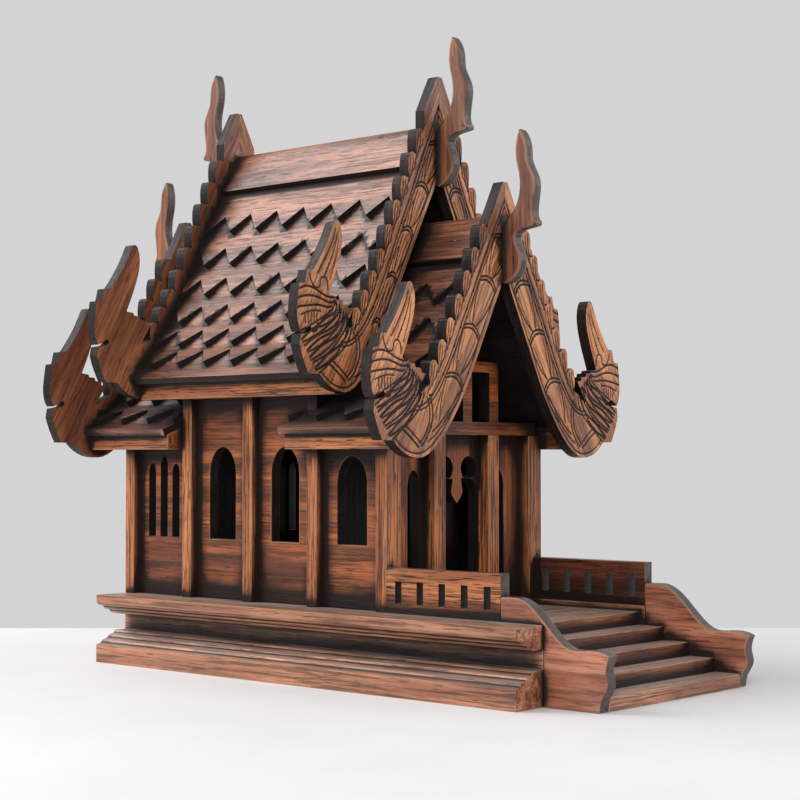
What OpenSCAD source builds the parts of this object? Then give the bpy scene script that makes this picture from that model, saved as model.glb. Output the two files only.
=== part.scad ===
// Table-top Thai spirit house in stained teak: a moulded plinth with a stair, a post-and-panel
// house, and three gable roofs with saw-tooth shingles, finned bargeboards and chofa finials.
// Millimetres. X runs across the house, the stair is at -Y, +Z is up, the ground is Z = 0.

/* [Plinth] */
// Length of the plinth along the house
plinth_l = 370; // [345:1:440]
// Width of the plinth across its mouldings
plinth_w = 212; // [195:1:250]
// Height of the plinth
plinth_h = 47; // [40:1:56]
// Height of the plain fascia at the foot
foot_fascia_h = 12.5; // [8:0.5:15]
// Height of the plain fascia at the top
top_fascia_h = 5; // [3:0.5:8]
// Height of each stepped moulding
moulding_h = 9; // [6:0.5:11]
// How far each stepped moulding slopes inward
moulding_in = 17; // [10:0.5:18]
// Steps cut in each moulding
moulding_steps = 3; // [2:1:5]

/* [House] */
// Width of the house across the post faces
house_w = 160; // [150:1:180]
// Distance between side posts, centre to centre
bay_pitch = 60; // [50:1:70]
// Side of a square post
post_s = 9.2; // [7:0.2:12]
// Width of a corner post across the front
corner_post_w = 14; // [11:0.5:18]
// Thickness of cheeks, balustrades and rails
board_t = 8.5; // [6:0.5:10]
// Thickness of the wall panels
panel_t = 8; // [4:0.5:9]
// How far the panels lie behind the post faces
panel_recess = 6; // [3:0.5:8]
// Thickness of the house floor
floor_t = 8; // [5:0.5:10]
// Distance from the centre line to a middle post
middle_post_x = 27.7; // [24:0.5:34]
// Width of a middle post
middle_post_w = 11; // [8:0.5:13]
// Height of the underside of the lintel
lintel_z = 158; // [140:1:160]
// Height of the lintel
lintel_h = 8.5; // [6:0.5:9]
// Height of the gable struts over the lintel
strut_h = 33; // [20:1:38]
// Height of the collar bar over the struts
collar_h = 7; // [4:0.5:9]

/* [Openings] */
// Height of the window sills
sill_z = 87.5; // [70:0.5:95]
// Width of an arched window
window_w = 25.5; // [18:0.5:32]
// Height of the tall windows' crowns
tall_crown_z = 150; // [135:1:165]
// Height of the end bays' window crowns
low_crown_z = 144; // [130:1:150]
// Height of an arch from springing to crown
arch_rise = 18; // [12:1:24]
// Width of a ventilation slot
slot_w = 7.5; // [5:0.5:9]
// Distance between ventilation slots
slot_pitch = 12.4; // [10:0.2:15]
// Width of the doorway between its jambs
door_w = 43; // [36:1:44]
// Height of the doorway's cusps
cusp_z = 130; // [120:1:138]
// Radius of the two round lobes of the doorway
lobe_r = 8; // [6:0.5:9]
// Width of a narrow arch beside the doorway
side_arch_w = 12; // [8:0.5:16]
// Height of a narrow arch's crown
side_arch_crown_z = 135; // [125:1:145]

/* [Stair] */
// Height of one riser
riser = 8.6; // [7:0.2:9.2]
// Going of one tread
going = 18.7; // [15:0.1:22]
// Distance from the plinth's front end back to the deck nosing
nosing_in = 35; // [25:1:45]
// Height of a balustrade over the plinth
balustrade_h = 28; // [20:1:36]
// Height of a stair cheek over the plinth, at the balustrade
cheek_h = 14.5; // [10:0.5:18]
// Height of a stair cheek at its lip
cheek_lip_z = 34; // [28:1:40]
// Length of a stair cheek in front of the plinth
cheek_run = 46; // [42:1:56]
// Slots in each balustrade
slot_count = 5; // [3:1:7]
// Width of a balustrade slot
baluster_slot_w = 5.2; // [3:0.2:7]
// Height of a balustrade slot
baluster_slot_h = 14; // [9:0.5:17]

/* [Roof] */
// Height of the main ridge
main_ridge_z = 365; // [350:1:400]
// Height of the low ridges
low_ridge_z = 300; // [290:1:312]
// Shingle courses on a main slope
main_courses = 6; // [5:1:6]
// Shingle courses on a low slope
low_courses = 5; // [4:1:5]
// Width of the plain ridge boards along the slope
ridge_board_w = 34; // [28:1:35]
// Distance from the main ridge to the first shingle course
main_ridge_w = 39.8; // [36:0.2:44]
// Distance from a low ridge to the first shingle course
low_ridge_w = 36; // [35.5:0.5:39]
// Width of a main shingle course along the slope
main_course_w = 24.3; // [22:0.1:26]
// Width of a low shingle course along the slope
low_course_w = 24.8; // [22:0.1:26]
// How much narrower each main course is than the one above it
main_course_taper = 2.1; // [0:0.1:2.4]
// How much narrower each lower course is than the one above it
low_course_taper = 1.5; // [0:0.1:2.4]
// Width of the plain main eave boards along the slope
main_eave_w = 12.4; // [10:0.2:16]
// Width of the plain low eave boards along the slope
low_eave_w = 13; // [11:0.5:18]
// Pitch of the slopes below the ridge
steep_deg = 63.8; // [60:0.2:66]
// Pitch of the main slopes at the eave
main_eave_deg = 38; // [34:1:44]
// Pitch of the low slopes at the eave
low_eave_deg = 20; // [14:1:24]
// Thickness of the roof boards
roof_t = 4.5; // [4:0.5:6]
// Thickness of a saw-tooth shingle strip
shingle_t = 4.8; // [2.5:0.1:5.5]
// Length of one saw tooth along the roof
tooth_pitch = 26.5; // [18:0.1:32]
// Depth of a saw tooth along the slope
tooth_depth = 15; // [7:0.5:17]
// Height of an eave beam's underside, main roof
main_beam_z = 183; // [176:1:190]
// Height of an eave beam's underside, low roofs
low_beam_z = 148.5; // [142:0.5:156]
// Width of an eave beam outside the posts
beam_w = 13; // [9:0.5:14]

/* [Gables] */
// Thickness of a bargeboard
barge_t = 8; // [6:0.5:10]
// Distance from the middle of the house to a main bargeboard's face
main_gable_y = 100.7; // [92:0.5:108]
// Distance from the middle of the house to a low bargeboard's face
low_gable_y = 156.2; // [150:0.5:170]
// Height of the main gable peaks
main_peak_z = 397; // [388:1:430]
// Height of the low gable peaks
low_peak_z = 321; // [314:1:330]
// Height where the two inner edges of the main bargeboards meet
main_inner_z = 332; // [322:1:345]
// Height where the two inner edges of the low bargeboards meet
low_inner_z = 262; // [252:1:272]
// Height where the two finned edges of the main bargeboards would meet
main_outer_z = 393; // [386:1:400]
// Height where the two finned edges of the low bargeboards would meet
low_outer_z = 323.5; // [316:0.5:328]
// Pitch of the bargeboards' inner edges
inner_deg = 62.3; // [60:0.1:65]
// Pitch of the main bargeboards' finned edges
main_fin_deg = 65.2; // [62:0.1:67]
// Pitch of the low bargeboards' finned edges
low_fin_deg = 62; // [60:0.1:65]
// Distance from the centre line to the lowest point of a main naga foot
main_foot_x = 91.5; // [88:0.5:98]
// Height of the lowest point of a main naga foot
main_foot_z = 184; // [178:1:190]
// Distance from the centre line to the lowest point of a low naga foot
low_foot_x = 86; // [83:0.5:92]
// Height of the lowest point of a low naga foot
low_foot_z = 143; // [138:1:148]
// Fins along a main bargeboard
main_fins = 9; // [6:1:10]
// Fins along a low bargeboard
low_fins = 7; // [5:1:8]
// Distance from the last fin of a main bargeboard to the lowest point of its foot
main_fin_gap = 7; // [6:0.5:12]
// Distance from the last fin of a low bargeboard to the lowest point of its foot
low_fin_gap = 11; // [8:0.5:14]
// Radius of a fin's round head
fin_r = 3.4; // [2.5:0.1:3.6]
// Height of a fin over the bargeboard's edge
fin_h = 17; // [12:0.5:20]
// Thickness of a chofa finial
chofa_t = 8; // [6:0.5:12]
// How much lower the main front finial sits on its peak than the low ones
main_front_chofa_drop = 8; // [0:0.5:9]
// How much lower the main back finial sits on its peak than the low ones
main_back_chofa_drop = 1; // [0:0.5:9]

/* [Hidden] */
$fn = 48;

LEFT = -1;
RIGHT = 1;
FRONT = -1;
BACK = 1;
// Clearance round a post where a roof passes it
post_gap = 0.3;
// Gap between the strips of a roof and the bargeboards
strip_gap = 0.4;
// Reach of a cut past the face that it opens
past = 1;

// Post rows, from the back of the plinth forward
house_x = house_w/2;
plinth_x = plinth_w/2;
house_back_y = plinth_l/2;
bays = 4;
post_ys = [for (i = [0:bays]) house_back_y - post_s/2 - i*bay_pitch];
house_mid_y = post_ys[bays/2];
house_front_y = post_ys[bays] - post_s/2;
panel_x = house_x - panel_recess;
inner_x = panel_x - panel_t;
rail_x = house_x - board_t;
lintel_top = lintel_z + lintel_h;
wall_front_y = house_front_y + post_s;
wall_back_y = house_back_y - post_s;
wall_inner_y = wall_front_y + panel_t;

// Stair and porch
plinth_front_y = -plinth_l/2;
deck_z = 5*riser;
nosing_y = plinth_front_y + nosing_in;
steps = 4;
balustrade_front_y = plinth_front_y + nosing_in - 4;
cheek_front_y = plinth_front_y - cheek_run;

// Chofa outline, from the face of the gable outward and from the peak upward
chofa_above = 33;
chofa_out = 27;

// The origin is the middle of the whole object's length
front_end_y = cheek_front_y;
back_end_y = house_mid_y + low_gable_y + chofa_out;
origin_y = (front_end_y + back_end_y)/2;

teak = "#8a5231";
dark_teak = "#5a3522";
golden_teak = "#a8693a";
roof_teak = "#96604a";

// Points of a cubic curve, without its first point
function curve(a, b, c, d, n = 8) = [for (i = [1:n]) let (t = i/n, s = 1 - t)
    s*s*s*a + 3*s*s*t*b + 3*s*t*t*c + t*t*t*d];

// Outline of an opening with an arched head
function arch_points(w, z0, crown, rise, n = 20) = concat([[w/2, z0]],
    [for (i = [0:n]) let (a = 180*i/n) [w/2*cos(a), crown - rise + rise*sin(a)]], [[-w/2, z0]]);

// A roof's form: ridge height, courses, ridge, course and eave widths along the slope, eave pitch
main_form = [main_ridge_z, main_courses, main_ridge_w, main_course_w, main_eave_w, main_eave_deg,
    main_course_taper];
low_form = [low_ridge_z, low_courses, low_ridge_w, low_course_w, low_eave_w, low_eave_deg,
    low_course_taper];
function eave_board(form) = form[1] + 1;
// Pitch, width and direction of board i of a slope; the ridge board is 0
function pitch_at(i, form) = steep_deg - (steep_deg - form[5])*pow(i/eave_board(form), 3);
function board_w(i, form) = i == 0 ? form[2] : i == eave_board(form) ? form[4]
    : form[3] + form[6]*(eave_board(form)/2 - i);
function board_dir(i, form) = [cos(pitch_at(i, form)), -sin(pitch_at(i, form))];
// Upper edge of board i of a slope, as [x, z]
function board_top(i, form) = i == 0 ? [0, form[0]]
    : board_top(i - 1, form) + board_w(i - 1, form)*board_dir(i - 1, form);
// Underside of the slope below the upper edge of board i, mitred where two boards meet
function board_under(i, form) = let (a = pitch_at(i - 1, form), b = pitch_at(min(i, eave_board(form)), form))
    i == 0 ? [0, form[0] - roof_t/cos(steep_deg)]
    : board_top(i, form) - roof_t/cos((a - b)/2)*[sin((a + b)/2), cos((a + b)/2)];
// Underside of the eave board at a distance x from the centre line
function eave_under(x, form) = let (p = board_top(eave_board(form), form))
    p[1] - (x - p[0])*tan(form[5]) - roof_t/cos(form[5]);

module placed() { translate([0, -origin_y, 0]) children(); }
module sided(side) { mirror([side < 0 ? 1 : 0, 0, 0]) children(); }

// Stands a drawing of [x, z] upright and runs it along Y, from y0 to y1
module along(y0, y1) {
    translate([0, y1, 0]) rotate([90, 0, 0]) linear_extrude(y1 - y0) children();
}
// Stands a drawing of [y, z] upright and runs it along X, from x0 to x1
module across(x0, x1) {
    translate([x0, 0, 0]) rotate([90, 0, 90]) linear_extrude(x1 - x0) children();
}
module block(x0, x1, y0, y1, z0, z1) { translate([x0, y0, z0]) cube([x1 - x0, y1 - y0, z1 - z0]); }

// Steps of a moulding between two [x, z] corners
function stair_points(a, b, n) = [for (i = [0:n - 1], k = [0:1]) [
    a[0] + (b[0] - a[0])*(i + k*0.72)/n, a[1] + (b[1] - a[1])*(i + k*0.28)/n]];

// Front end of a plinth side; the right cheek reaches back to its balustrade
function plinth_end_y(side) = side == RIGHT ? balustrade_front_y : plinth_front_y;
// A plinth side: an upright board faced with a stepped foot moulding and a stepped cornice
module plinth_side(side) {
    foot_top = foot_fascia_h + moulding_h;
    cornice_z = plinth_h - top_fascia_h - moulding_h;
    mould_x = plinth_x - moulding_in;
    color(teak) placed() sided(side) along(plinth_end_y(side), house_back_y) polygon(concat(
        [[rail_x, 0], [plinth_x, 0]],
        stair_points([plinth_x, foot_fascia_h], [mould_x, foot_top], moulding_steps),
        [[mould_x, foot_top], [house_x, foot_top], [house_x, cornice_z], [mould_x, cornice_z]],
        [for (p = stair_points([plinth_x, plinth_h - top_fascia_h], [mould_x, cornice_z], moulding_steps))
            let (q = [p[0], p[1]]) [plinth_x + mould_x - q[0], plinth_h - top_fascia_h + cornice_z - q[1]]],
        [[plinth_x, plinth_h - top_fascia_h], [plinth_x, plinth_h], [rail_x, plinth_h]]));
}
module plinth_left() { plinth_side(LEFT); }
module plinth_right() { plinth_side(RIGHT); }

// Board that closes the plinth under the back wall
module plinth_back() {
    color(dark_teak) placed()
        block(-rail_x, rail_x, house_back_y - board_t, house_back_y, 0, plinth_h - floor_t);
}

module house_floor() {
    color(dark_teak) placed()
        block(-rail_x, rail_x, house_front_y, house_back_y, plinth_h - floor_t, plinth_h);
}

module porch_deck() {
    color(dark_teak) placed() block(-rail_x, rail_x, nosing_y, house_front_y, deck_z - riser, deck_z);
}

// Step i counts up from the ground; the top step also carries the deck
module step(i) {
    y0 = nosing_y - (steps + 1 - i)*going;
    y1 = i == steps ? nosing_y + going : y0 + going;
    color(teak) placed() block(-rail_x, rail_x, y0, y1, 0, i*riser);
}

// Stair cheek: an S-shaped sweep from the balustrade down to a scrolled front edge
module cheek(side) {
    top = plinth_h + cheek_h;
    lip = [cheek_front_y, cheek_lip_z - 1.5];
    crest = [balustrade_front_y - 13, top];
    dip = [cheek_front_y + 23, cheek_lip_z];
    waist = [cheek_front_y + 2.6, cheek_lip_z*0.68];
    knee = [cheek_front_y + 1.2, cheek_lip_z*0.48];
    color(teak) placed() sided(side) across(rail_x, house_x) polygon(concat(
        [[plinth_end_y(side), 0]],
        side == RIGHT ? [] : [[plinth_front_y, plinth_h], [balustrade_front_y, plinth_h]],
        [[balustrade_front_y, top]],
        curve([balustrade_front_y, top], [balustrade_front_y - 6, top], [crest[0] + 4, top + 0.5], crest, 4),
        curve(crest, crest + [-16, -3], dip + [15, -1], dip, 12),
        curve(dip, dip + [-6, 0], lip + [9, 4], lip, 6),
        curve(lip, lip + [1.6, -3], waist + [0.4, 3], waist, 4),
        curve(waist, waist + [-0.4, -2], knee + [0, 2], knee, 4),
        curve(knee, knee + [0.4, -5], [cheek_front_y + 6, 9], [cheek_front_y + 6.5, 4], 5),
        [[cheek_front_y + 7, 0]]));
}
module cheek_left() { cheek(LEFT); }
module cheek_right() { cheek(RIGHT); }

// Porch balustrade: one board with a row of upright slots
module balustrade(side) {
    run = house_front_y - balustrade_front_y;
    slot_step = (run - 20)/(slot_count - 1);
    slot_z = plinth_h + (balustrade_h - baluster_slot_h)/2 - 1;
    color(golden_teak) placed() sided(side) difference() {
        block(rail_x, house_x, balustrade_front_y, house_front_y, plinth_h, plinth_h + balustrade_h);
        for (i = [0:slot_count - 1]) {
            y = balustrade_front_y + 10 + i*slot_step;
            block(rail_x - past, house_x + past, y - baluster_slot_w/2, y + baluster_slot_w/2,
                slot_z, slot_z + baluster_slot_h);
        }
    }
}
module balustrade_left() { balustrade(LEFT); }
module balustrade_right() { balustrade(RIGHT); }

// Two corner posts and the three taller nave posts of one side
module side_posts(side) {
    nave_top = main_beam_z + 9;
    color(golden_teak) placed() sided(side) for (i = [0:bays]) {
        corner = i == 0 || i == bays;
        block(house_x - (corner ? corner_post_w : post_s), house_x,
            post_ys[i] - post_s/2, post_ys[i] + post_s/2, plinth_h, corner ? lintel_z : nave_top);
    }
}
module left_posts() { side_posts(LEFT); }
module right_posts() { side_posts(RIGHT); }

// The four posts that flank the middle of the front and the back
module middle_posts() {
    color(golden_teak) placed() for (x = [-middle_post_x, middle_post_x]) {
        x0 = x - middle_post_w/2;
        block(x0, x0 + middle_post_w, house_front_y, wall_front_y, plinth_h, lintel_z);
        block(x0, x0 + middle_post_w, wall_back_y, house_back_y, plinth_h, lintel_z);
    }
}

// Panel between posts i and i + 1 of one side, with its openings cut by the children
module side_panel(side, i, top) {
    color(teak) placed() sided(side) difference() {
        block(inner_x, panel_x, post_ys[i + 1] + post_s/2, post_ys[i] - post_s/2, plinth_h, top);
        translate([0, (post_ys[i] + post_ys[i + 1])/2, 0]) across(inner_x - past, panel_x + past) children();
    }
}
module arched_window(crown) { polygon(arch_points(window_w, sill_z, crown, arch_rise)); }
// Three ventilation slots, the middle one taller
module ventilation_slots() {
    for (k = [-1:1])
        translate([k*slot_pitch, 0])
            polygon(arch_points(slot_w, sill_z, low_crown_z - 5*abs(k), slot_w, 12));
}
module back_bay(side) { side_panel(side, 0, lintel_z) ventilation_slots(); }
module nave_bays(side) { for (i = [1, 2]) side_panel(side, i, main_beam_z + 9) arched_window(tall_crown_z); }
module front_bay(side) { side_panel(side, 3, lintel_z) arched_window(low_crown_z); }
module left_back_wall() { back_bay(LEFT); }
module left_nave_wall() { nave_bays(LEFT); }
module left_front_wall() { front_bay(LEFT); }
module right_back_wall() { back_bay(RIGHT); }
module right_nave_wall() { nave_bays(RIGHT); }
module right_front_wall() { front_bay(RIGHT); }

// Doorway: jambs that curve in to two cusps under a pair of round lobes
module doorway() {
    jamb = door_w/2;
    cusp_x = jamb - 6.5;
    lobe = [jamb - 9.5, cusp_z + 6];
    shoulder = cusp_z - 14;
    difference() {
        union() {
            polygon(concat([[jamb, plinth_h - past], [jamb, shoulder]],
                curve([jamb, shoulder], [jamb, shoulder + 6], [cusp_x + 3, cusp_z - 3], [cusp_x, cusp_z], 8),
                curve([-cusp_x, cusp_z], [-cusp_x - 3, cusp_z - 3],
                    [-jamb, shoulder + 6], [-jamb, shoulder], 8),
                [[-jamb, plinth_h - past]]));
            for (s = [-1, 1]) translate([s*lobe[0], lobe[1]]) circle(lobe_r);
        }
        pendant();
    }
}
// Pendant that hangs from the head of the doorway to a point
module pendant() {
    neck = 3.9;
    bulb = [5.9, cusp_z - 9];
    top_z = cusp_z + 6 + lobe_r;
    tip = [0, cusp_z - 17];
    right = concat([[neck, top_z]], curve([neck, top_z], [neck, cusp_z], [neck, cusp_z - 2], bulb, 8),
        curve(bulb, bulb + [0, -2], tip + [2, 2], tip, 5));
    polygon(concat(right, [for (i = [len(right) - 2:-1:0]) [-right[i][0], right[i][1]]]));
}
module front_wall() {
    side_arch_x = (middle_post_x + middle_post_w/2 + house_x - corner_post_w)/2 - 6;
    color(teak) placed() difference() {
        block(-inner_x, inner_x, wall_front_y, wall_inner_y, plinth_h, lintel_z);
        along(wall_front_y - past, wall_inner_y + past) {
            doorway();
            for (s = [-1, 1]) translate([s*side_arch_x, 0])
                polygon(arch_points(side_arch_w, plinth_h + 10, side_arch_crown_z, arch_rise*0.7));
        }
    }
}
// Wall between the front bay and the nave, with a plain doorway
module cross_wall() {
    mid = post_ys[3];
    color(teak) placed() difference() {
        block(-inner_x, inner_x, mid - panel_t/2, mid + panel_t/2, plinth_h, lintel_z);
        block(-door_w/2, door_w/2, mid - panel_t, mid + panel_t, plinth_h - past, cusp_z);
    }
}
module back_wall() {
    color(teak) placed() block(-inner_x, inner_x, wall_back_y - panel_t, wall_back_y, plinth_h, lintel_z);
}

// Lintel over the posts, with three struts and a collar bar in the gable
module gable_frame(y0) {
    half = house_x - corner_post_w/2;
    strut_top = lintel_top + strut_h;
    color(golden_teak) placed() {
        block(-half, half, y0, y0 + post_s, lintel_z, lintel_top);
        for (x = [-middle_post_x, 0, middle_post_x])
            block(x - post_s/2, x + post_s/2, y0, y0 + post_s, lintel_top, strut_top);
        block(-middle_post_x - post_s/2, middle_post_x + post_s/2, y0, y0 + post_s,
            strut_top, strut_top + collar_h);
    }
}
module front_gable_frame() { gable_frame(house_front_y); }
module back_gable_frame() { gable_frame(wall_back_y); }

// Two eave beams whose tops are bevelled to the underside of the eave boards
module eave_beams(y0, y1, z0, form) {
    x1 = house_x + beam_w;
    color(golden_teak) placed() for (side = [LEFT, RIGHT]) sided(side) along(y0, y1)
        polygon([[house_x, z0], [x1, z0], [x1, eave_under(x1, form)], [house_x, eave_under(house_x, form)]]);
}
main_back_y = house_mid_y + main_gable_y - barge_t;
main_front_y = house_mid_y - main_gable_y + barge_t;
low_back_y = house_mid_y + low_gable_y - barge_t;
low_front_y = house_mid_y - low_gable_y + barge_t;
// The front low roof runs on past the nave's front post, outside the wall
front_roof_end_y = post_ys[3] + 14;
back_roof_end_y = post_ys[1] + post_s/2 + post_gap;
module main_eave_beams() { eave_beams(main_front_y, main_back_y, main_beam_z, main_form); }
module front_eave_beams() { eave_beams(low_front_y, front_roof_end_y - 2, low_beam_z, low_form); }
module back_eave_beams() { eave_beams(back_roof_end_y, low_back_y, low_beam_z, low_form); }

// A strip laid on board i of a slope, with its lower edge tilted out; drawn as [down the slope, y]
module strip(i, width, form) {
    tilt = asin(0.93*shingle_t/width);
    top = board_top(i, form);
    translate([top[0], 0, top[1]]) rotate([0, pitch_at(i, form) - tilt, 0]) translate([0, 0, -shingle_t])
        linear_extrude(shingle_t) children();
}
// Outline of saw-tooth course i between y0 and y1; odd courses end on a tip, even ones on a notch
function course_points(y0, y1, width, i) = let (n = max(2, round((y1 - y0)/tooth_pitch)))
    let (tooth = (y1 - y0)/n, rise = i % 2 == 0 ? tooth_depth : 0)
    concat([[0.6, y1], [0.6, y0], [width - rise, y0]],
        [for (k = [0:n - 1], h = [0.5, 1])
            [width - (h < 1 ? tooth_depth - rise : rise), y0 + (k + h)*tooth]]);
// One roof slope: ridge board, saw-tooth shingle courses and eave board on a bent deck
module slope(y0, y1, form) {
    last = eave_board(form) + 1;
    a = y0 + strip_gap;
    b = y1 - strip_gap;
    difference() {
        union() {
            along(y0, y1) polygon(concat([for (i = [0:last]) board_top(i, form)],
                [for (i = [last:-1:0]) board_under(i, form)]));
            strip(0, ridge_board_w, form) polygon([[0, b], [0, a], [ridge_board_w, a], [ridge_board_w, b]]);
            for (i = [1:form[1]]) strip(i, board_w(i, form), form)
                polygon(course_points(a, b, board_w(i, form) + 0.8, i));
        }
        block(-roof_t - past, 0, y0 - past, y1 + past, form[0] - 5*roof_t, form[0] + roof_t);
    }
}
module roof(side, y0, y1, form) { color(roof_teak) placed() sided(side) slope(y0, y1, form); }
module main_roof(side) { roof(side, main_front_y, main_back_y, main_form); }
module front_roof(side) {
    color(roof_teak) placed() sided(side) difference() {
        slope(low_front_y, front_roof_end_y, low_form);
        block(-past, house_x + post_gap, post_ys[3] - post_s/2 - post_gap, front_roof_end_y + past,
            plinth_h, low_ridge_z + past);
    }
}
module back_roof(side) { roof(side, back_roof_end_y, low_back_y, low_form); }
module main_roof_left() { main_roof(LEFT); }
module main_roof_right() { main_roof(RIGHT); }
module front_roof_left() { front_roof(LEFT); }
module front_roof_right() { front_roof(RIGHT); }
module back_roof_left() { back_roof(LEFT); }
module back_roof_right() { back_roof(RIGHT); }

// Naga head, drawn from the lowest point of the foot; x outward, z up
nape = [2.4, 37.8];
function naga_chin() = concat(curve([0, 0], [9, 0], [17, 4], [23, 10.5], 6), [[33, 10.6]],
    curve([33, 10.6], [36, 16], [39, 22], [40.8, 28.5], 4), [[39.6, 34.5], [33, 35.6]]);
function naga_snout() = concat(curve([33, 35.6], [29.5, 36.5], [29.5, 40], [32.5, 40], 5),
    [[36, 37.5], [39.5, 36]],
    curve([39.5, 36], [42.5, 39], [44, 46], [42.6, 55], 5),
    [[41, 65.6], [36.2, 66.2], [34.2, 74.5], [29, 74.7]]);
function naga_horn() = concat(curve([29, 74.7], [22.5, 83], [15.5, 93], [10.5, 105], 8),
    curve([10.5, 105], [9.5, 107.8], [6, 107.6], [5, 104.5], 4),
    curve([5, 104.5], [0.5, 95], [5, 82], [15, 60.2], 8));
function naga_crest() = [[9, 59.4], [8.3, 57.6], [3.4, 57.3], [2.8, 55], [-2.4, 54.5], [-2.9, 52],
    [-6.6, 51.3], nape];
function moved(points, by) = [for (p = points) p + by];

// Edge of a bargeboard that its fins stand on, from the peak to the nape of the naga
function fin_edge(outer, deg, foot) = let (start = [foot[0] - 32, outer - (foot[0] - 32)*tan(deg)])
    concat([[0, outer], start],
        curve(start, start + 14*[cos(deg), -sin(deg)], foot + nape + [-12, -3], foot + nape, 8));
// A fin with a bowed outer side at x and a round head, back to the next fin's side at x - step
function fin_points(x, step, edge) = let (
        base = lookup(x, edge), inner = lookup(x - step, edge),
        top = min(base + fin_h, inner + 4), r = fin_r)
    concat([[x, base]], curve([x, base], [x + 0.9, base + 4], [x + 1, top - r - 3], [x, top - r], 5),
        [for (i = [1:7]) [x - r, top - r] + r*[cos(22*i), sin(22*i)]], [[x - step, inner]]);

// A bargeboard: straight arm, finned outer edge, and a foot that sweeps up into a naga head
module barge_outline(peak, inner, outer, deg, foot, first_x, fins, fin_gap) {
    edge = fin_edge(outer, deg, foot);
    start = [foot[0] - 52, inner - (foot[0] - 52)*tan(inner_deg)];
    step = (foot[0] - fin_gap - first_x)/(fins - 1);
    peak_x = first_x - step;
    polygon(concat([[0, inner], start],
        curve(start, start + 26*[cos(inner_deg), -sin(inner_deg)], foot + [-18, 0], foot, 12),
        moved(concat(naga_chin(), naga_snout(), naga_horn(), naga_crest()), foot),
        [for (k = [fins - 1:-1:0], q = fin_points(first_x + k*step, step, edge)) q],
        [[peak_x, peak - (peak_x - 2.5)*tan(inner_deg)], [2.5, peak], [0, peak]]));
}
module barge(side, facing, gable_y) {
    face = house_mid_y + facing*gable_y;
    back = face - facing*barge_t;
    color(golden_teak) placed() sided(side) along(min(face, back), max(face, back)) children();
}
module main_barge(side, facing) {
    barge(side, facing, main_gable_y) barge_outline(main_peak_z, main_inner_z, main_outer_z, main_fin_deg,
        [main_foot_x, main_foot_z], 23, main_fins, main_fin_gap);
}
module low_barge(side, facing) {
    barge(side, facing, low_gable_y) barge_outline(low_peak_z, low_inner_z, low_outer_z, low_fin_deg,
        [low_foot_x, low_foot_z], 26, low_fins, low_fin_gap);
}
module main_front_barge_left() { main_barge(LEFT, FRONT); }
module main_front_barge_right() { main_barge(RIGHT, FRONT); }
module main_back_barge_left() { main_barge(LEFT, BACK); }
module main_back_barge_right() { main_barge(RIGHT, BACK); }
module low_front_barge_left() { low_barge(LEFT, FRONT); }
module low_front_barge_right() { low_barge(RIGHT, FRONT); }
module low_back_barge_left() { low_barge(LEFT, BACK); }
module low_back_barge_right() { low_barge(RIGHT, BACK); }

// Chofa finial: breast against the gable, throat, beak and a swaying horn; [outward, over the peak]
module chofa_outline() {
    tip = [14, chofa_above];
    beak = [chofa_out, -30.5];
    polygon(concat([[0, -66]], curve([0, -66], [8, -67], [15, -59], [15, -52], 8),
        curve([15, -52], [15, -44], [10, -42], [10.5, -36], 6),
        curve([10.5, -36], [13, -31], [19, -32], beak, 6),
        [beak + [0, 3]], curve(beak + [0, 3], [22, -24], [26, -14], [26.5, -5], 8),
        curve([26.5, -5], [26.5, 4], [20, 8], [20, 15], 8),
        curve([20, 15], [20, 22], [19, 27], tip, 8),
        curve(tip, [11, 27], [9.5, 18], [12.5, 8], 8),
        curve([12.5, 8], [16, -3], [15, -17], [4, -24], 8), [[0, -30]]));
}
module chofa(facing, gable_y, peak) {
    color(golden_teak) placed() translate([0, house_mid_y + facing*gable_y, peak])
        mirror([0, facing < 0 ? 1 : 0, 0]) across(-chofa_t/2, chofa_t/2) chofa_outline();
}
module main_front_chofa() { chofa(FRONT, main_gable_y, main_peak_z - main_front_chofa_drop); }
module main_back_chofa() { chofa(BACK, main_gable_y, main_peak_z - main_back_chofa_drop); }
module low_front_chofa() { chofa(FRONT, low_gable_y, low_peak_z); }
module low_back_chofa() { chofa(BACK, low_gable_y, low_peak_z); }

plinth_left();
plinth_right();
plinth_back();
house_floor();
porch_deck();
step(1);  // step_1
step(2);  // step_2
step(3);  // step_3
step(4);  // step_4
cheek_left();
cheek_right();
balustrade_left();
balustrade_right();
left_posts();
right_posts();
middle_posts();
left_back_wall();
left_nave_wall();
left_front_wall();
right_back_wall();
right_nave_wall();
right_front_wall();
front_wall();
cross_wall();
back_wall();
front_gable_frame();
back_gable_frame();
main_eave_beams();
front_eave_beams();
back_eave_beams();
main_roof_left();
main_roof_right();
front_roof_left();
front_roof_right();
back_roof_left();
back_roof_right();
main_front_barge_left();
main_front_barge_right();
main_back_barge_left();
main_back_barge_right();
low_front_barge_left();
low_front_barge_right();
low_back_barge_left();
low_back_barge_right();
main_front_chofa();
main_back_chofa();
low_front_chofa();
low_back_chofa();
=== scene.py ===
"""Looks of a table-top teak spirit house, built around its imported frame."""

from __future__ import annotations

import logging
import math
from dataclasses import dataclass, field
from enum import Enum

import bmesh
import bpy
import numpy as np
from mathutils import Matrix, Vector
from mathutils.bvhtree import BVHTree
from mathutils.geometry import delaunay_2d_cdt
from mathutils.kdtree import KDTree

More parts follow.
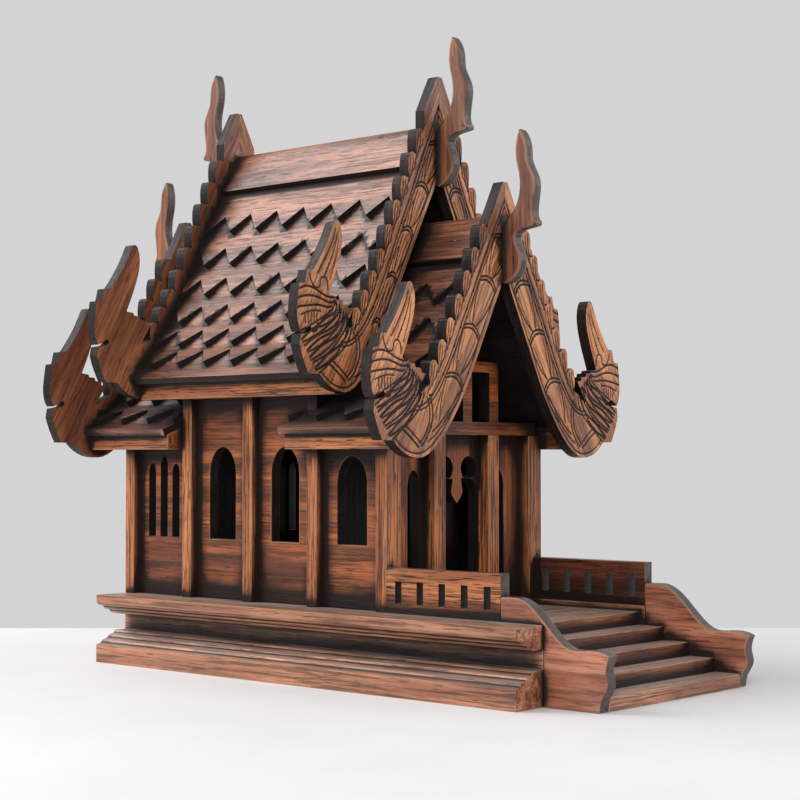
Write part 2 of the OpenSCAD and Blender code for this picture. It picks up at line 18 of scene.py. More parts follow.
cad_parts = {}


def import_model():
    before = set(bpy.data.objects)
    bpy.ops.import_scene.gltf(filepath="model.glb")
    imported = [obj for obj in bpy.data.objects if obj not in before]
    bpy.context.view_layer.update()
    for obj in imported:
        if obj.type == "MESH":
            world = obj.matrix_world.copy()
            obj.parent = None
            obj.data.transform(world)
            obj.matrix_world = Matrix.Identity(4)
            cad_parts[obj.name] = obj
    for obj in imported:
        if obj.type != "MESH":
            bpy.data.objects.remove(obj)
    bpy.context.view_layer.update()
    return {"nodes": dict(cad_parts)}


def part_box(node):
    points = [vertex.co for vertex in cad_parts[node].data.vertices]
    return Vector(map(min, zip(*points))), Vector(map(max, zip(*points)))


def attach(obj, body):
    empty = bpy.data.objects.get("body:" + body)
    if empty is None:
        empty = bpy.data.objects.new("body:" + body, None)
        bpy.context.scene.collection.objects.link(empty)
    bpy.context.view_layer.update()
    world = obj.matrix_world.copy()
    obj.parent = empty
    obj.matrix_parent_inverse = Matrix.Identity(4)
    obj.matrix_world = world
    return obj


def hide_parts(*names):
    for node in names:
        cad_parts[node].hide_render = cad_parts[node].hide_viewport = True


LOG = logging.getLogger("spirit_house")
Colour = tuple[float, float, float]
Place = tuple[float, float, float]
Point = tuple[float, float]

MM = 0.001
# Middle of the building along Y, between its front and back walls.
HOUSE_MIDDLE = 54.1 * MM
# How far a face has to turn to count as level, or as looking along an axis.
LEVEL = 0.7
TURNED = 0.5
# The way out of the roof's slope, across and up, and how near it a shingle's face looks.
ROOF_OUT = 0.87
ROOF_UP = 0.5
ROOF_FACE = 0.55
# Shift of the grain from one board to the next, so that no two look alike.
PLANK_STEP = 0.618
PLANK_SHIFT = (("X", 0.37), ("Y", 0.71), ("Z", 0.53))
# Cells per metre of the wood's figure, pores and cloudy stain, along the grain and across it.
FIGURE_CELLS = (7.0, 75.0, 75.0)
PORE_CELLS = (75.0, 1250.0, 1250.0)
CLOUD_CELLS = (18.0, 42.0, 42.0)
STREAK_RUN = 13.0
DUST = (0.41, 0.345, 0.315)
# Where in their noise the figure, streaks, pores, cloudy patches and rubbed spots start and end.
FIGURE_SPAN = (0.36, 0.66)
STREAK_SPAN = (0.52, 0.42)
PORE_SPAN = (0.43, 0.34)
PATCH_SPAN = (0.48, 0.80)
RUB_SPAN = (0.62, 0.40)


class Grain(Enum):
    """Turn about X, Y and Z, in degrees, that lays a board's grain along X."""

    ACROSS = (0.0, 0.0, 0.0)
    LENGTHWISE = (0.0, 0.0, -90.0)
    UPRIGHT = (0.0, 90.0, 0.0)
    LEFT_ARM = (0.0, 61.0, 0.0)
    RIGHT_ARM = (0.0, -61.0, 0.0)


class StainAndShade(Enum):
    """Faces of a piece that have a finish of their own: some dark-stained, some painted shade."""

    SIDE_ROOM = "side_room"
    END_ROOM = "end_room"
    BOARD_SIDES = "board_sides"
    PROFILE_SIDES = "profile_sides"
    TEETH = "teeth"
    INNER_FACE = "inner_face"
    PORCH_FACE = "porch_face"
    RISERS = "risers"

    def covers(self, normal: Vector, centre: Vector) -> bool:
        """Tells whether a face is one of them.

        Args:
            normal: The face's direction.
            centre: The face's middle.

        Returns:
            True for such a face.
        """
        aside = math.copysign(1.0, centre.x)
        ahead = math.copysign(1.0, centre.y - HOUSE_MIDDLE)
        # Faces inside the rooms, painted black as shade.
        if self is StainAndShade.SIDE_ROOM:
            return normal.z < LEVEL and normal.x * aside < TURNED
        if self is StainAndShade.END_ROOM:
            return normal.z < LEVEL and normal.y * ahead < TURNED
        if self is StainAndShade.BOARD_SIDES:
            return abs(normal.y) < TURNED
        if self is StainAndShade.PROFILE_SIDES:
            return abs(normal.x) < TURNED
        if self is StainAndShade.INNER_FACE:
            return normal.y * ahead < -TURNED
        if self is StainAndShade.PORCH_FACE:
            return normal.x * aside < -TURNED
        if self is StainAndShade.RISERS:
            return normal.y < -TURNED
        # Cut edges of the shingles, painted near black as shade.
        return normal.x * aside * ROOF_OUT + normal.z * ROOF_UP < ROOF_FACE


class ShaderSketch:
    """A short hand for laying out one material's nodes."""

    def __init__(self, name: str) -> None:
        """Starts an empty material.

        Args:
            name: The material's name.
        """
        self.material = bpy.data.materials.new(name)
        self.material.use_nodes = True
        self.tree = self.material.node_tree
        self.tree.nodes.clear()
        self.shader = self.add("ShaderNodeBsdfPrincipled")
        output = self.add("ShaderNodeOutputMaterial")
        self.tree.links.new(self.shader.outputs["BSDF"], output.inputs["Surface"])

    def add(self, kind: str, **settings: object) -> bpy.types.Node:
        """Adds a node.

        Args:
            kind: The node's type name.
            settings: Properties set on the node.

        Returns:
            The new node.
        """
        node = self.tree.nodes.new(kind)
        for key, value in settings.items():
            setattr(node, key, value)
        return node

    def put(self, socket: bpy.types.NodeSocket, value: object) -> None:
        """Links or sets a socket.

        Args:
            socket: The input socket.
            value: Another socket, a number, a colour or a vector.
        """
        if isinstance(value, bpy.types.NodeSocket):
            self.tree.links.new(value, socket)
        elif isinstance(value, tuple) and socket.type == "RGBA":
            socket.default_value = (*value, 1.0)
        else:
            socket.default_value = value

    def math(self, operation: str, *values: object) -> bpy.types.NodeSocket:
        """Works out a number.

        Args:
            operation: The Math node's operation.
            values: Sockets or numbers it works on.

        Returns:
            The result's socket.
        """
        node = self.add("ShaderNodeMath", operation=operation)
        for socket, value in zip(node.inputs, values):
            self.put(socket, value)
        return node.outputs[0]

    def mix(self, factor: object, first: object, second: object) -> bpy.types.NodeSocket:
        """Mixes two colours.

        Args:
            factor: How much of the second is taken.
            first: A colour.
            second: Another colour.

        Returns:
            The mixed colour's socket.
        """
        node = self.add("ShaderNodeMix", data_type="RGBA")
        self.put(node.inputs["Factor"], factor)
        colour_inputs = [s for s in node.inputs if s.type == "RGBA"]
        self.put(colour_inputs[0], first)
        self.put(colour_inputs[1], second)
        return next(s for s in node.outputs if s.type == "RGBA")

    def spread(self, value: object, low: float, high: float, to_low: float = 0.0,
               to_high: float = 1.0) -> bpy.types.NodeSocket:
        """Eases a value from one range into another.

        Args:
            value: The socket to read.
            low: Where the first range starts.
            high: Where the first range ends.
            to_low: Where the second range starts.
            to_high: Where the second range ends.

        Returns:
            The eased value's socket.
        """
        node = self.add("ShaderNodeMapRange", interpolation_type="SMOOTHSTEP")
        keys = ("Value", "From Min", "From Max", "To Min", "To Max")
        for key, item in zip(keys, (value, low, high, to_low, to_high)):
            self.put(node.inputs[key], item)
        return node.outputs["Result"]

    def attribute(self, name: str) -> bpy.types.NodeSocket:
        """Returns a mesh attribute's value."""
        return self.add("ShaderNodeAttribute", attribute_name=name).outputs["Fac"]

    def noise(self, vector: object, scale: Place, detail: float = 3.0, rough: float = 0.55,
              twist: float = 0.0) -> bpy.types.NodeSocket:
        """Returns a stretched noise.

        Args:
            vector: The coordinates.
            scale: Cells per metre along the three axes.
            detail: Octaves.
            rough: How strong the finer octaves are.
            twist: Distortion.

        Returns:
            The noise value, about 0.5 on average.
        """
        stretch = self.add("ShaderNodeMapping", vector_type="POINT")
        self.put(stretch.inputs["Vector"], vector)
        stretch.inputs["Scale"].default_value = scale
        node = self.add("ShaderNodeTexNoise", noise_dimensions="3D")
        self.put(node.inputs["Vector"], stretch.outputs["Vector"])
        settings = {"Scale": 1.0, "Detail": detail, "Roughness": rough, "Distortion": twist}
        for key, item in settings.items():
            node.inputs[key].default_value = item
        return node.outputs[0]


@dataclass(frozen=True)
class TeakFinish:
    """Stained open-grain teak: streaks, pores, dark dirt and painted shade in the corners, and
    edges rubbed by wear.
    """

    name: str
    slot: str
    pale: Colour
    mid: Colour
    dark: Colour
    # Colour of the dark dirt and painted shade in corners and creases.
    soot_and_shade: Colour = (0.0125, 0.0105, 0.0105)
    wear_and_crease_shade: Colour = (0.42, 0.24, 0.13)
    streaks: float = 0.75
    lines: float = 420.0
    pores: float = 0.7
    soot_and_shade_from: float = 0.16
    soot_and_shade_to: float = 0.52
    edge_wear: float = 0.5
    roughness: float = 0.46
    specular: float = 0.25
    dust: float = 0.3
    pore_dim: float = 0.35
    patch_dim: float = 0.8
    patches: float = 0.4
    soot_and_shade_rough: float = 0.12
    soot_and_shade_dull: float = 0.5
    bump: float = 0.55
    relief: float = 0.4 * MM

    def material(self, grain: Grain) -> bpy.types.Material:
        """Builds the wood for one direction of grain.

        Args:
            grain: The way the grain runs.

        Returns:
            The finished material.
        """
        name = f"{self.name}_{grain.name.lower()}"
        made = bpy.data.materials.get(name)
        if made:
            return made
        sketch = ShaderSketch(name)
        self._colour(sketch, self._planks(sketch, grain))
        return sketch.material

    def _planks(self, sketch: ShaderSketch, grain: Grain) -> bpy.types.NodeSocket:
        """Lays coordinates along the grain, shifted from plank to plank.

        Args:
            sketch: The material being laid out.
            grain: The way the grain runs.

        Returns:
            The coordinates' socket.
        """
        place = sketch.add("ShaderNodeTexCoord").outputs["Object"]
        plank = sketch.attribute("plank")
        offset = sketch.add("ShaderNodeCombineXYZ")
        for key, step in PLANK_SHIFT:
            sketch.put(offset.inputs[key], sketch.math("MULTIPLY", plank, step))
        turn = sketch.add("ShaderNodeMapping", vector_type="POINT")
        sketch.put(turn.inputs["Vector"], place)
        turn.inputs["Rotation"].default_value = tuple(math.radians(a) for a in grain.value)
        add = sketch.add("ShaderNodeVectorMath", operation="ADD")
        sketch.put(add.inputs[0], turn.outputs["Vector"])
        sketch.put(add.inputs[1], offset.outputs["Vector"])
        return add.outputs[0]

    def _colour(self, sketch: ShaderSketch, planks: bpy.types.NodeSocket) -> None:
        """Lays out colour, roughness and relief.

        Args:
            sketch: The material being laid out.
            planks: Coordinates along the grain.
        """
        figure = sketch.noise(planks, FIGURE_CELLS, 2.0, 0.5, 0.6)
        streak = sketch.noise(planks, (STREAK_RUN, self.lines, self.lines), 5.0, 0.7, 0.25)
        pore = sketch.noise(planks, PORE_CELLS, 2.0, 0.5)
        cloud = sketch.noise(planks, CLOUD_CELLS, 3.0, 0.6)
        shade_and_grime = sketch.attribute("shade_and_grime")
        colour = sketch.mix(sketch.spread(figure, *FIGURE_SPAN), self.mid, self.pale)
        dark_streak = sketch.spread(streak, *STREAK_SPAN, 0.0, self.streaks)
        colour = sketch.mix(dark_streak, colour, self.dark)
        open_pore = sketch.spread(pore, *PORE_SPAN, 0.0, self.pores)
        colour = sketch.mix(open_pore, colour, tuple(self.pore_dim * c for c in self.dark))
        patch = sketch.spread(cloud, *PATCH_SPAN, 0.0, self.patches)
        colour = sketch.mix(patch, colour, tuple(self.patch_dim * c for c in self.dark))
        wear_and_crease_shade = sketch.attribute("wear_and_crease_shade")
        rubbed = sketch.spread(cloud, *RUB_SPAN, 0.1, 1.0)
        rub = sketch.math("MULTIPLY", sketch.math("MAXIMUM", wear_and_crease_shade, 0.0), rubbed)
        colour = sketch.mix(sketch.math("MULTIPLY", rub, self.edge_wear), colour, self.wear_and_crease_shade)
        # Dark dirt and painted shade in corners and creases, black in the carved cuts.
        soot_and_shade = self._soot_and_shade(sketch, shade_and_grime, cloud, wear_and_crease_shade)
        colour = sketch.mix(soot_and_shade, colour, self.soot_and_shade)
        colour = sketch.mix(self._dusty(sketch, shade_and_grime, cloud), colour, DUST)
        sketch.put(sketch.shader.inputs["Base Color"], colour)
        self._gloss(sketch, streak, soot_and_shade)
        height = sketch.math("SUBTRACT", sketch.math("MULTIPLY", streak, 0.7), open_pore)
        bump = sketch.add("ShaderNodeBump")
        bump.inputs["Strength"].default_value = self.bump
        bump.inputs["Distance"].default_value = self.relief
        sketch.put(bump.inputs["Height"], height)
        sketch.put(sketch.shader.inputs["Normal"], bump.outputs["Normal"])

    def _gloss(self, sketch: ShaderSketch, streak: bpy.types.NodeSocket,
               soot_and_shade: bpy.types.NodeSocket) -> None:
        """Makes the dark dirt and painted shade rougher and duller than clean wood.

        Args:
            sketch: The material being laid out.
            streak: The noise of the grain's streaks.
            soot_and_shade: How black a spot is.
        """
        rough = sketch.math("ADD", sketch.spread(streak, 0.3, 0.7, 0.07, -0.07), self.roughness)
        rough = sketch.math("ADD", rough, sketch.math("MULTIPLY", soot_and_shade, self.soot_and_shade_rough))
        sketch.put(sketch.shader.inputs["Roughness"], rough)
        shine = sketch.math("MULTIPLY_ADD", soot_and_shade, -self.soot_and_shade_dull * self.specular, self.specular)
        sketch.put(sketch.shader.inputs["Specular IOR Level"], shine)

    def _soot_and_shade(self, sketch: ShaderSketch, shade_and_grime: bpy.types.NodeSocket, cloud: bpy.types.NodeSocket,
               wear_and_crease_shade: bpy.types.NodeSocket) -> bpy.types.NodeSocket:
        """Works out how black a spot is: dark dirt and painted shade in corners, black-stained
        carved cuts, painted shade along inner edges.

        Args:
            sketch: The material being laid out.
            shade_and_grime: How closed in the spot is.
            cloud: The cloudy noise.
            wear_and_crease_shade: The edge marks: wear above 0, painted shade below 0 on inner
                edges.

        Returns:
            The socket of a value from 0 to 1.
        """
        uneven = sketch.math("MULTIPLY", sketch.math("SUBTRACT", cloud, 0.5), 0.22)
        soot_and_shade = sketch.math("ADD", shade_and_grime, uneven)
        soot_and_shade = sketch.spread(soot_and_shade, self.soot_and_shade_from, self.soot_and_shade_to, 0.0, 0.96)
        carved = sketch.spread(sketch.attribute("carve"), 0.25, 0.9, 0.0, 0.97)
        soot_and_shade = sketch.math("MAXIMUM", soot_and_shade, carved)
        # Inner edges: painted shade in the crease.
        return sketch.math("MAXIMUM", soot_and_shade, sketch.math("MULTIPLY", wear_and_crease_shade, -0.92))

    def _dusty(self, sketch: ShaderSketch, shade_and_grime: bpy.types.NodeSocket,
               cloud: bpy.types.NodeSocket) -> bpy.types.NodeSocket:
        """Works out how much dust lies on a spot: on level ledges, most of all in their corners.

        Args:
            sketch: The material being laid out.
            shade_and_grime: How closed in the spot is.
            cloud: The cloudy noise.

        Returns:
            The socket of a value from 0 to 1.
        """
        parts = sketch.add("ShaderNodeSeparateXYZ")
        sketch.put(parts.inputs[0], sketch.add("ShaderNodeNewGeometry").outputs["Normal"])
        level = sketch.spread(parts.outputs["Z"], 0.72, 0.98, 0.0, self.dust)
        corner = sketch.spread(shade_and_grime, 0.02, 0.22, 0.25, 1.0)
        patch = sketch.spread(cloud, 0.36, 0.62, 0.3, 1.0)
        return sketch.math("MULTIPLY", sketch.math("MULTIPLY", level, corner), patch)


WALL_TEAK = TeakFinish(
    "wall_teak", "teak",
    pale=(0.50, 0.140, 0.041), mid=(0.18, 0.046, 0.016),
    dark=(0.022, 0.008, 0.005),
    soot_and_shade_from=0.02, soot_and_shade_to=0.23, streaks=0.6, roughness=0.38, specular=0.36)
POST_TEAK = TeakFinish(
    "post_teak", "golden_teak",
    pale=(0.66, 0.236, 0.078), mid=(0.36, 0.108, 0.039),
    dark=(0.026, 0.010, 0.006),
    soot_and_shade_from=0.10, soot_and_shade_to=0.40, streaks=0.8, lines=620.0, pores=0.9, edge_wear=0.6,
    roughness=0.38, specular=0.36, dust=0.45)
BASE_TEAK = TeakFinish(
    "base_teak", "teak",
    pale=(0.66, 0.290, 0.155), mid=(0.33, 0.124, 0.066),
    dark=(0.030, 0.013, 0.009),
    soot_and_shade_from=0.17, soot_and_shade_to=0.48, streaks=0.65, pores=0.6, edge_wear=0.8, roughness=0.36,
    specular=0.5, dust=0.85)
CHEEK_TEAK = TeakFinish(
    "cheek_teak", "teak",
    pale=(0.70, 0.285, 0.165), mid=(0.38, 0.128, 0.073),
    dark=(0.040, 0.016, 0.011),
    soot_and_shade_from=0.14, soot_and_shade_to=0.46, streaks=0.45, pores=0.5, edge_wear=0.8, roughness=0.36,
    specular=0.5, dust=0.4)
# Pale treads: the wood and its dust, plus painted sheen from the light above.
STEP_SHEEN_TEAK = TeakFinish(
    "step_sheen_teak", "teak",
    pale=(0.80, 0.500, 0.375), mid=(0.52, 0.290, 0.200),
    dark=(0.030, 0.013, 0.009),
    soot_and_shade_from=0.26, soot_and_shade_to=0.70, streaks=0.6, edge_wear=0.85, roughness=0.33, specular=0.75,
    dust=1.0)
ROOF_TEAK = TeakFinish(
    "roof_teak", "roof_teak",
    pale=(0.43, 0.172, 0.094), mid=(0.155, 0.056, 0.034),
    dark=(0.042, 0.018, 0.012),
    soot_and_shade_from=0.04, soot_and_shade_to=0.26, streaks=0.5, edge_wear=0.65, roughness=0.36, specular=0.5,
    dust=0.1)
CARVED_TEAK = TeakFinish(
    "carved_teak", "golden_teak",
    pale=(0.74, 0.292, 0.112), mid=(0.33, 0.112, 0.046),
    dark=(0.040, 0.016, 0.009),
    soot_and_shade_from=0.20, soot_and_shade_to=0.54, streaks=0.6, pores=0.6, edge_wear=0.75, roughness=0.36,
    specular=0.6)
# A shaded copy of the carved teak: painted shade on the bargeboards' back faces and the upper
# risers; the chofas use it too.
SHADED_TEAK = TeakFinish(
    "shaded_teak", "golden_teak",
    pale=(0.44, 0.160, 0.070), mid=(0.20, 0.066, 0.033),
    dark=(0.026, 0.011, 0.008),
    soot_and_shade_from=0.10, soot_and_shade_to=0.42, streaks=0.5, edge_wear=0.6, roughness=0.38, specular=0.45)
# A darker copy for the balustrades' inner faces: painted shade.
PORCH_SHADE_TEAK = TeakFinish(
    "porch_shade_teak", "teak",
    pale=(0.20, 0.062, 0.031), mid=(0.085, 0.027, 0.015),
    dark=(0.014, 0.007, 0.005),
    soot_and_shade_from=0.0, soot_and_shade_to=0.22, streaks=0.5, edge_wear=0.6, roughness=0.38, specular=0.34)
RAIL_TEAK = TeakFinish(
    "rail_teak", "dark_teak",
    pale=(0.120, 0.072, 0.057), mid=(0.060, 0.036, 0.030),
    dark=(0.018, 0.011, 0.009), wear_and_crease_shade=(0.34, 0.22, 0.16),
    soot_and_shade_from=0.14, soot_and_shade_to=0.46, streaks=0.5, roughness=0.34, specular=0.6, dust=0.35)
EDGE_TEAK = TeakFinish(
    "edge_teak", "dark_teak",
    pale=(0.036, 0.024, 0.021), mid=(0.017, 0.012, 0.011),
    dark=(0.008, 0.007, 0.007), wear_and_crease_shade=(0.22, 0.125, 0.085),
    soot_and_shade_from=0.16, soot_and_shade_to=0.55, roughness=0.42, specular=0.13, dust=0.12)
# Near-black painted shade: inside the rooms, on the cross wall and on the shingles' cut edges.
SHADE_BLACK_TEAK = TeakFinish(
    "dark_teak", "dark_teak",
    pale=(0.026, 0.015, 0.011), mid=(0.014, 0.009, 0.0075),
    dark=(0.006, 0.005, 0.005), wear_and_crease_shade=(0.10, 0.05, 0.03),
    soot_and_shade_from=0.10, soot_and_shade_to=0.5, roughness=0.5, dust=0.0)


@dataclass(frozen=True)
class PatchyFinish:
    """Two colours in soft patches, each with its roughness."""

    name: str
    colours: tuple[Colour, Colour]
    rough: Point
    span: Point
    cells: float
    detail: float
    metallic: float = 0.0

    def material(self) -> bpy.types.Material:
        """Builds the surface.

        Returns:
            The finished material.
        """
        sketch = ShaderSketch(self.name)
        place = sketch.add("ShaderNodeTexCoord").outputs["Object"]
        patch = sketch.noise(place, (self.cells, self.cells, self.cells), self.detail, 0.6)
        colour = sketch.mix(sketch.spread(patch, *self.span), *self.colours)
        sketch.put(sketch.shader.inputs["Base Color"], colour)
        rough = sketch.spread(patch, *self.span, *self.rough)
        sketch.put(sketch.shader.inputs["Roughness"], rough)
        sketch.shader.inputs["Metallic"].default_value = self.metallic
        return sketch.material


NAIL_IRON = PatchyFinish(
    "nail_iron", colours=((0.30, 0.27, 0.26), (0.075, 0.035, 0.022)),
    rough=(0.32, 0.6), span=(0.40, 0.62), cells=1400.0, detail=3.0, metallic=0.6)
PALE_TABLE = PatchyFinish(
    "pale_table", colours=((0.86, 0.86, 0.87), (0.91, 0.91, 0.91)),
    rough=(0.6, 0.6), span=(0.3, 0.7), cells=6.0, detail=4.0)


@dataclass
class Occlusion:
    """How closed in a point of the house is, for the dark dirt and painted shade that gather in
    corners.
    """

    reach: float = 38 * MM
    lift: float = 0.7 * MM
    count: int = 26
    tree: BVHTree | None = None
    rays: list[Vector] = field(default_factory=list)

    def gather(self, nodes: dict[str, bpy.types.Object]) -> None:
        """Takes in every CAD node's surface.

        Args:
            nodes: The frame's nodes by name.
        """
        points: list[Vector] = []
        faces: list[tuple[int, ...]] = []
        for node in nodes.values():
            base = len(points)
            points.extend(v.co.copy() for v in node.data.vertices)
            faces.extend(tuple(base + i for i in p.vertices) for p in node.data.polygons)
        self.tree = BVHTree.FromPolygons(points, faces)
        golden = math.pi * (3.0 - math.sqrt(5.0))
        for i in range(self.count):
            rise = math.sqrt(1.0 - (i + 0.5) / self.count)
            out = math.sqrt(1.0 - rise * rise)
            turn = golden * i
            self.rays.append(Vector((out * math.cos(turn), out * math.sin(turn), rise)))

    def at(self, point: Vector, normal: Vector) -> float:
        """Tells how much of the half space over a point is closed in.

        Args:
            point: A point of a surface.
            normal: The surface's direction there.

        Returns:
            0 in the open to 1 where everything near is closed.
        """
        turn = normal.to_track_quat("Z", "Y")
        start = point + normal * self.lift
        total = 0.0
        for ray in self.rays:
            distance = self.tree.ray_cast(start, turn @ ray, self.reach)[3]
            if distance is not None:
                total += 1.0 - distance / self.reach
        return total / self.count


@dataclass
class Piece:
    """One board or block: a smoothed, finely divided copy of a CAD node."""

    node: str
    finish: TeakFinish
    grain: Grain
    plank: float
    stains_and_shade: tuple[tuple[StainAndShade, TeakFinish], ...] = ()
    edge: float = 0.7 * MM
    groove: float = 0.7 * MM
    cell: float = 6.0 * MM
    weld: float = 0.002 * MM
    flat: float = math.radians(0.6)
    sharp: float = math.radians(32.0)
    probe_every: int = 45
    probe_lift: float = 1.5 * MM
    probe_blur: float = 0.5 * MM
    probes_near: int = 4

    def build(self, source: bpy.types.Object, shade: Occlusion) -> bpy.types.Object:
        """Makes the piece that stands for the node.

        Args:
            source: The CAD node.
            shade: The house's closed-in places.

        Returns:
            The dressed piece.
        """
        sheet = bmesh.new()
        sheet.from_mesh(source.data)
        self._clean(sheet)
        self._round_edges(sheet)
        self._divide(sheet)
        self._shade(sheet, shade)
        return self._dress(sheet)

    def _dress(self, sheet: bmesh.types.BMesh) -> bpy.types.Object:
        """Turns the sheet into a finished piece.

        Args:
            sheet: The piece's mesh.

        Returns:
            The piece, riding on the house.
        """
        for face in sheet.faces:
            centre = face.calc_center_median()
            covered = (i for i, (face_finish, _) in enumerate(self.stains_and_shade, 1)
                       if face_finish.covers(face.normal, centre))
            face.material_index = next(covered, 0)
        mesh = bpy.data.meshes.new(f"{self.node}_wood")
        sheet.to_mesh(mesh)
        sheet.free()
        piece = bpy.data.objects.new(f"{self.node}_wood", mesh)
        bpy.context.collection.objects.link(piece)
        mesh.materials.append(self.finish.material(self.grain))
        for _, finish in self.stains_and_shade:
            mesh.materials.append(finish.material(self.grain))
        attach(piece, "root")
        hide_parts(self.node)
        return piece

    def outward(self) -> Vector:
        """Returns the way the piece's show face looks."""
        return Vector((0.0, -1.0, 0.0))

    def _clean(self, sheet: bmesh.types.BMesh) -> None:
        """Joins loose triangles into flat faces and adds the layers that the finish reads.

        Args:
            sheet: The piece's mesh.
        """
        for name in ("carve", "plank", "shade_and_grime"):
            sheet.verts.layers.float.new(name)
        sheet.faces.layers.float.new("wear_and_crease_shade")
        bmesh.ops.remove_doubles(sheet, verts=sheet.verts, dist=self.weld)
        bmesh.ops.dissolve_limit(sheet, angle_limit=self.flat, verts=sheet.verts, edges=sheet.edges)

    def _round_edges(self, sheet: bmesh.types.BMesh) -> None:
        """Rounds the sharp edges: outer ones are marked as wear, inner ones for painted shade.

        Args:
            sheet: The piece's mesh.
        """
        wear_and_crease_shade = sheet.faces.layers.float["wear_and_crease_shade"]
        # Outer edges are marked for wear, inner edges for painted shade.
        for outer, mark, size in ((False, -1.0, self.groove), (True, 1.0, self.edge)):
            edges = [e for e in sheet.edges if len(e.link_faces) == 2 and e.is_convex == outer
                     and e.calc_face_angle(0.0) > self.sharp]
            cut = bmesh.ops.bevel(sheet, geom=edges, offset=size, offset_type="OFFSET", segments=2,
                                  profile=0.6, affect="EDGES", clamp_overlap=True)
            for face in cut["faces"]:
                face[wear_and_crease_shade] = mark
            sheet.normal_update()

    def _divide(self, sheet: bmesh.types.BMesh) -> None:
        """Cuts the faces into a grid, so that dark dirt and painted shade can fade across them.

        Args:
            sheet: The piece's mesh.
        """
        points = np.array([v.co[:] for v in sheet.verts])
        low, high = points.min(axis=0), points.max(axis=0)
        for axis in range(3):
            steps = int((high[axis] - low[axis]) / self.cell)
            for i in range(1, steps + 1):
                spot = Vector((0.0, 0.0, 0.0))
                spot[axis] = low[axis] + (high[axis] - low[axis]) * i / (steps + 1)
                across = Vector((0.0, 0.0, 0.0))
                across[axis] = 1.0
                everything = [*sheet.verts, *sheet.edges, *sheet.faces]
                bmesh.ops.bisect_plane(sheet, geom=everything, dist=1e-6, plane_co=spot,
                                       plane_no=across)
        bmesh.ops.triangulate(sheet, faces=[f for f in sheet.faces if len(f.verts) > 4])

    def _shade(self, sheet: bmesh.types.BMesh, shade: Occlusion,
               fine: frozenset[bmesh.types.BMVert] = frozenset()) -> None:
        """Writes the plank number and the closed-in value of each point.

        Args:
            sheet: The piece's mesh.
            shade: The house's closed-in places.
            fine: Points of a fine sheet, which take their value from a few of them.
        """
        plank, shade_and_grime = sheet.verts.layers.float["plank"], sheet.verts.layers.float["shade_and_grime"]
        sheet.normal_update()
        probes = KDTree(len(sheet.verts))
        values: list[float] = []
        # Each point's closed-in value, which the finish turns into dark dirt and painted shade.
        for number, vert in enumerate(sheet.verts):
            vert[plank] = self.plank
            if vert not in fine:
                vert[shade_and_grime] = shade.at(vert.co, vert.normal)
            elif number % self.probe_every == 0:
                probes.insert(vert.co, len(values))
                out = self.outward()
                values.append(shade.at(vert.co + out * self.probe_lift, out))
        probes.balance()
        for vert in fine:
            near = probes.find_n(vert.co, self.probes_near)
            weights = [1.0 / (gap + self.probe_blur) for _, _, gap in near]
            total = sum(w * values[i] for w, (_, i, _) in zip(weights, near))
            vert[shade_and_grime] = total / sum(weights)


def bow(a: Point, b: Point, c: Point, d: Point, count: int = 40) -> np.ndarray:
    """Draws a cubic curve.

    Args:
        a: Its start.
        b: The point that draws it at the start.
        c: The point that draws it at the end.
        d: Its end.
        count: How many points are given.

    Returns:
        Points along the curve, one to a row.
    """
    t = np.linspace(0.0, 1.0, count)[:, None]
    a, b, c, d = (np.array(p, dtype=float) for p in (a, b, c, d))
    return (1 - t) ** 3 * a + 3 * t * (1 - t) ** 2 * b + 3 * t * t * (1 - t) * c + t ** 3 * d


def beside(path: np.ndarray, gap: float | np.ndarray) -> np.ndarray:
    """Shifts a path sideways.

    Args:
        path: Points, one to a row.
        gap: How far to the right the path goes, in all or at each point.

    Returns:
        The shifted points.
    """
    step = np.gradient(path, axis=0)
    step /= np.linalg.norm(step, axis=1)[:, None]
    return path + gap * np.column_stack((step[:, 1], -step[:, 0]))


@dataclass(frozen=True)
class Stroke:
    """One gouge cut: its path in millimetres, half width and depth."""

    path: np.ndarray
    half: float = 0.72
    depth: float = 0.85

    def samples(self, pitch: float = 0.25) -> np.ndarray:
        """Walks along the cut.

        Args:
            pitch: The distance from point to point.

        Returns:
            Closely spaced points, one to a row.
        """
        steps = np.linalg.norm(np.diff(self.path, axis=0), axis=1)
        run = np.concatenate(([0.0], np.cumsum(steps)))
        at = np.linspace(0.0, run[-1], max(2, int(run[-1] / pitch)))
        return np.column_stack([np.interp(at, run, self.path[:, i]) for i in (0, 1)])


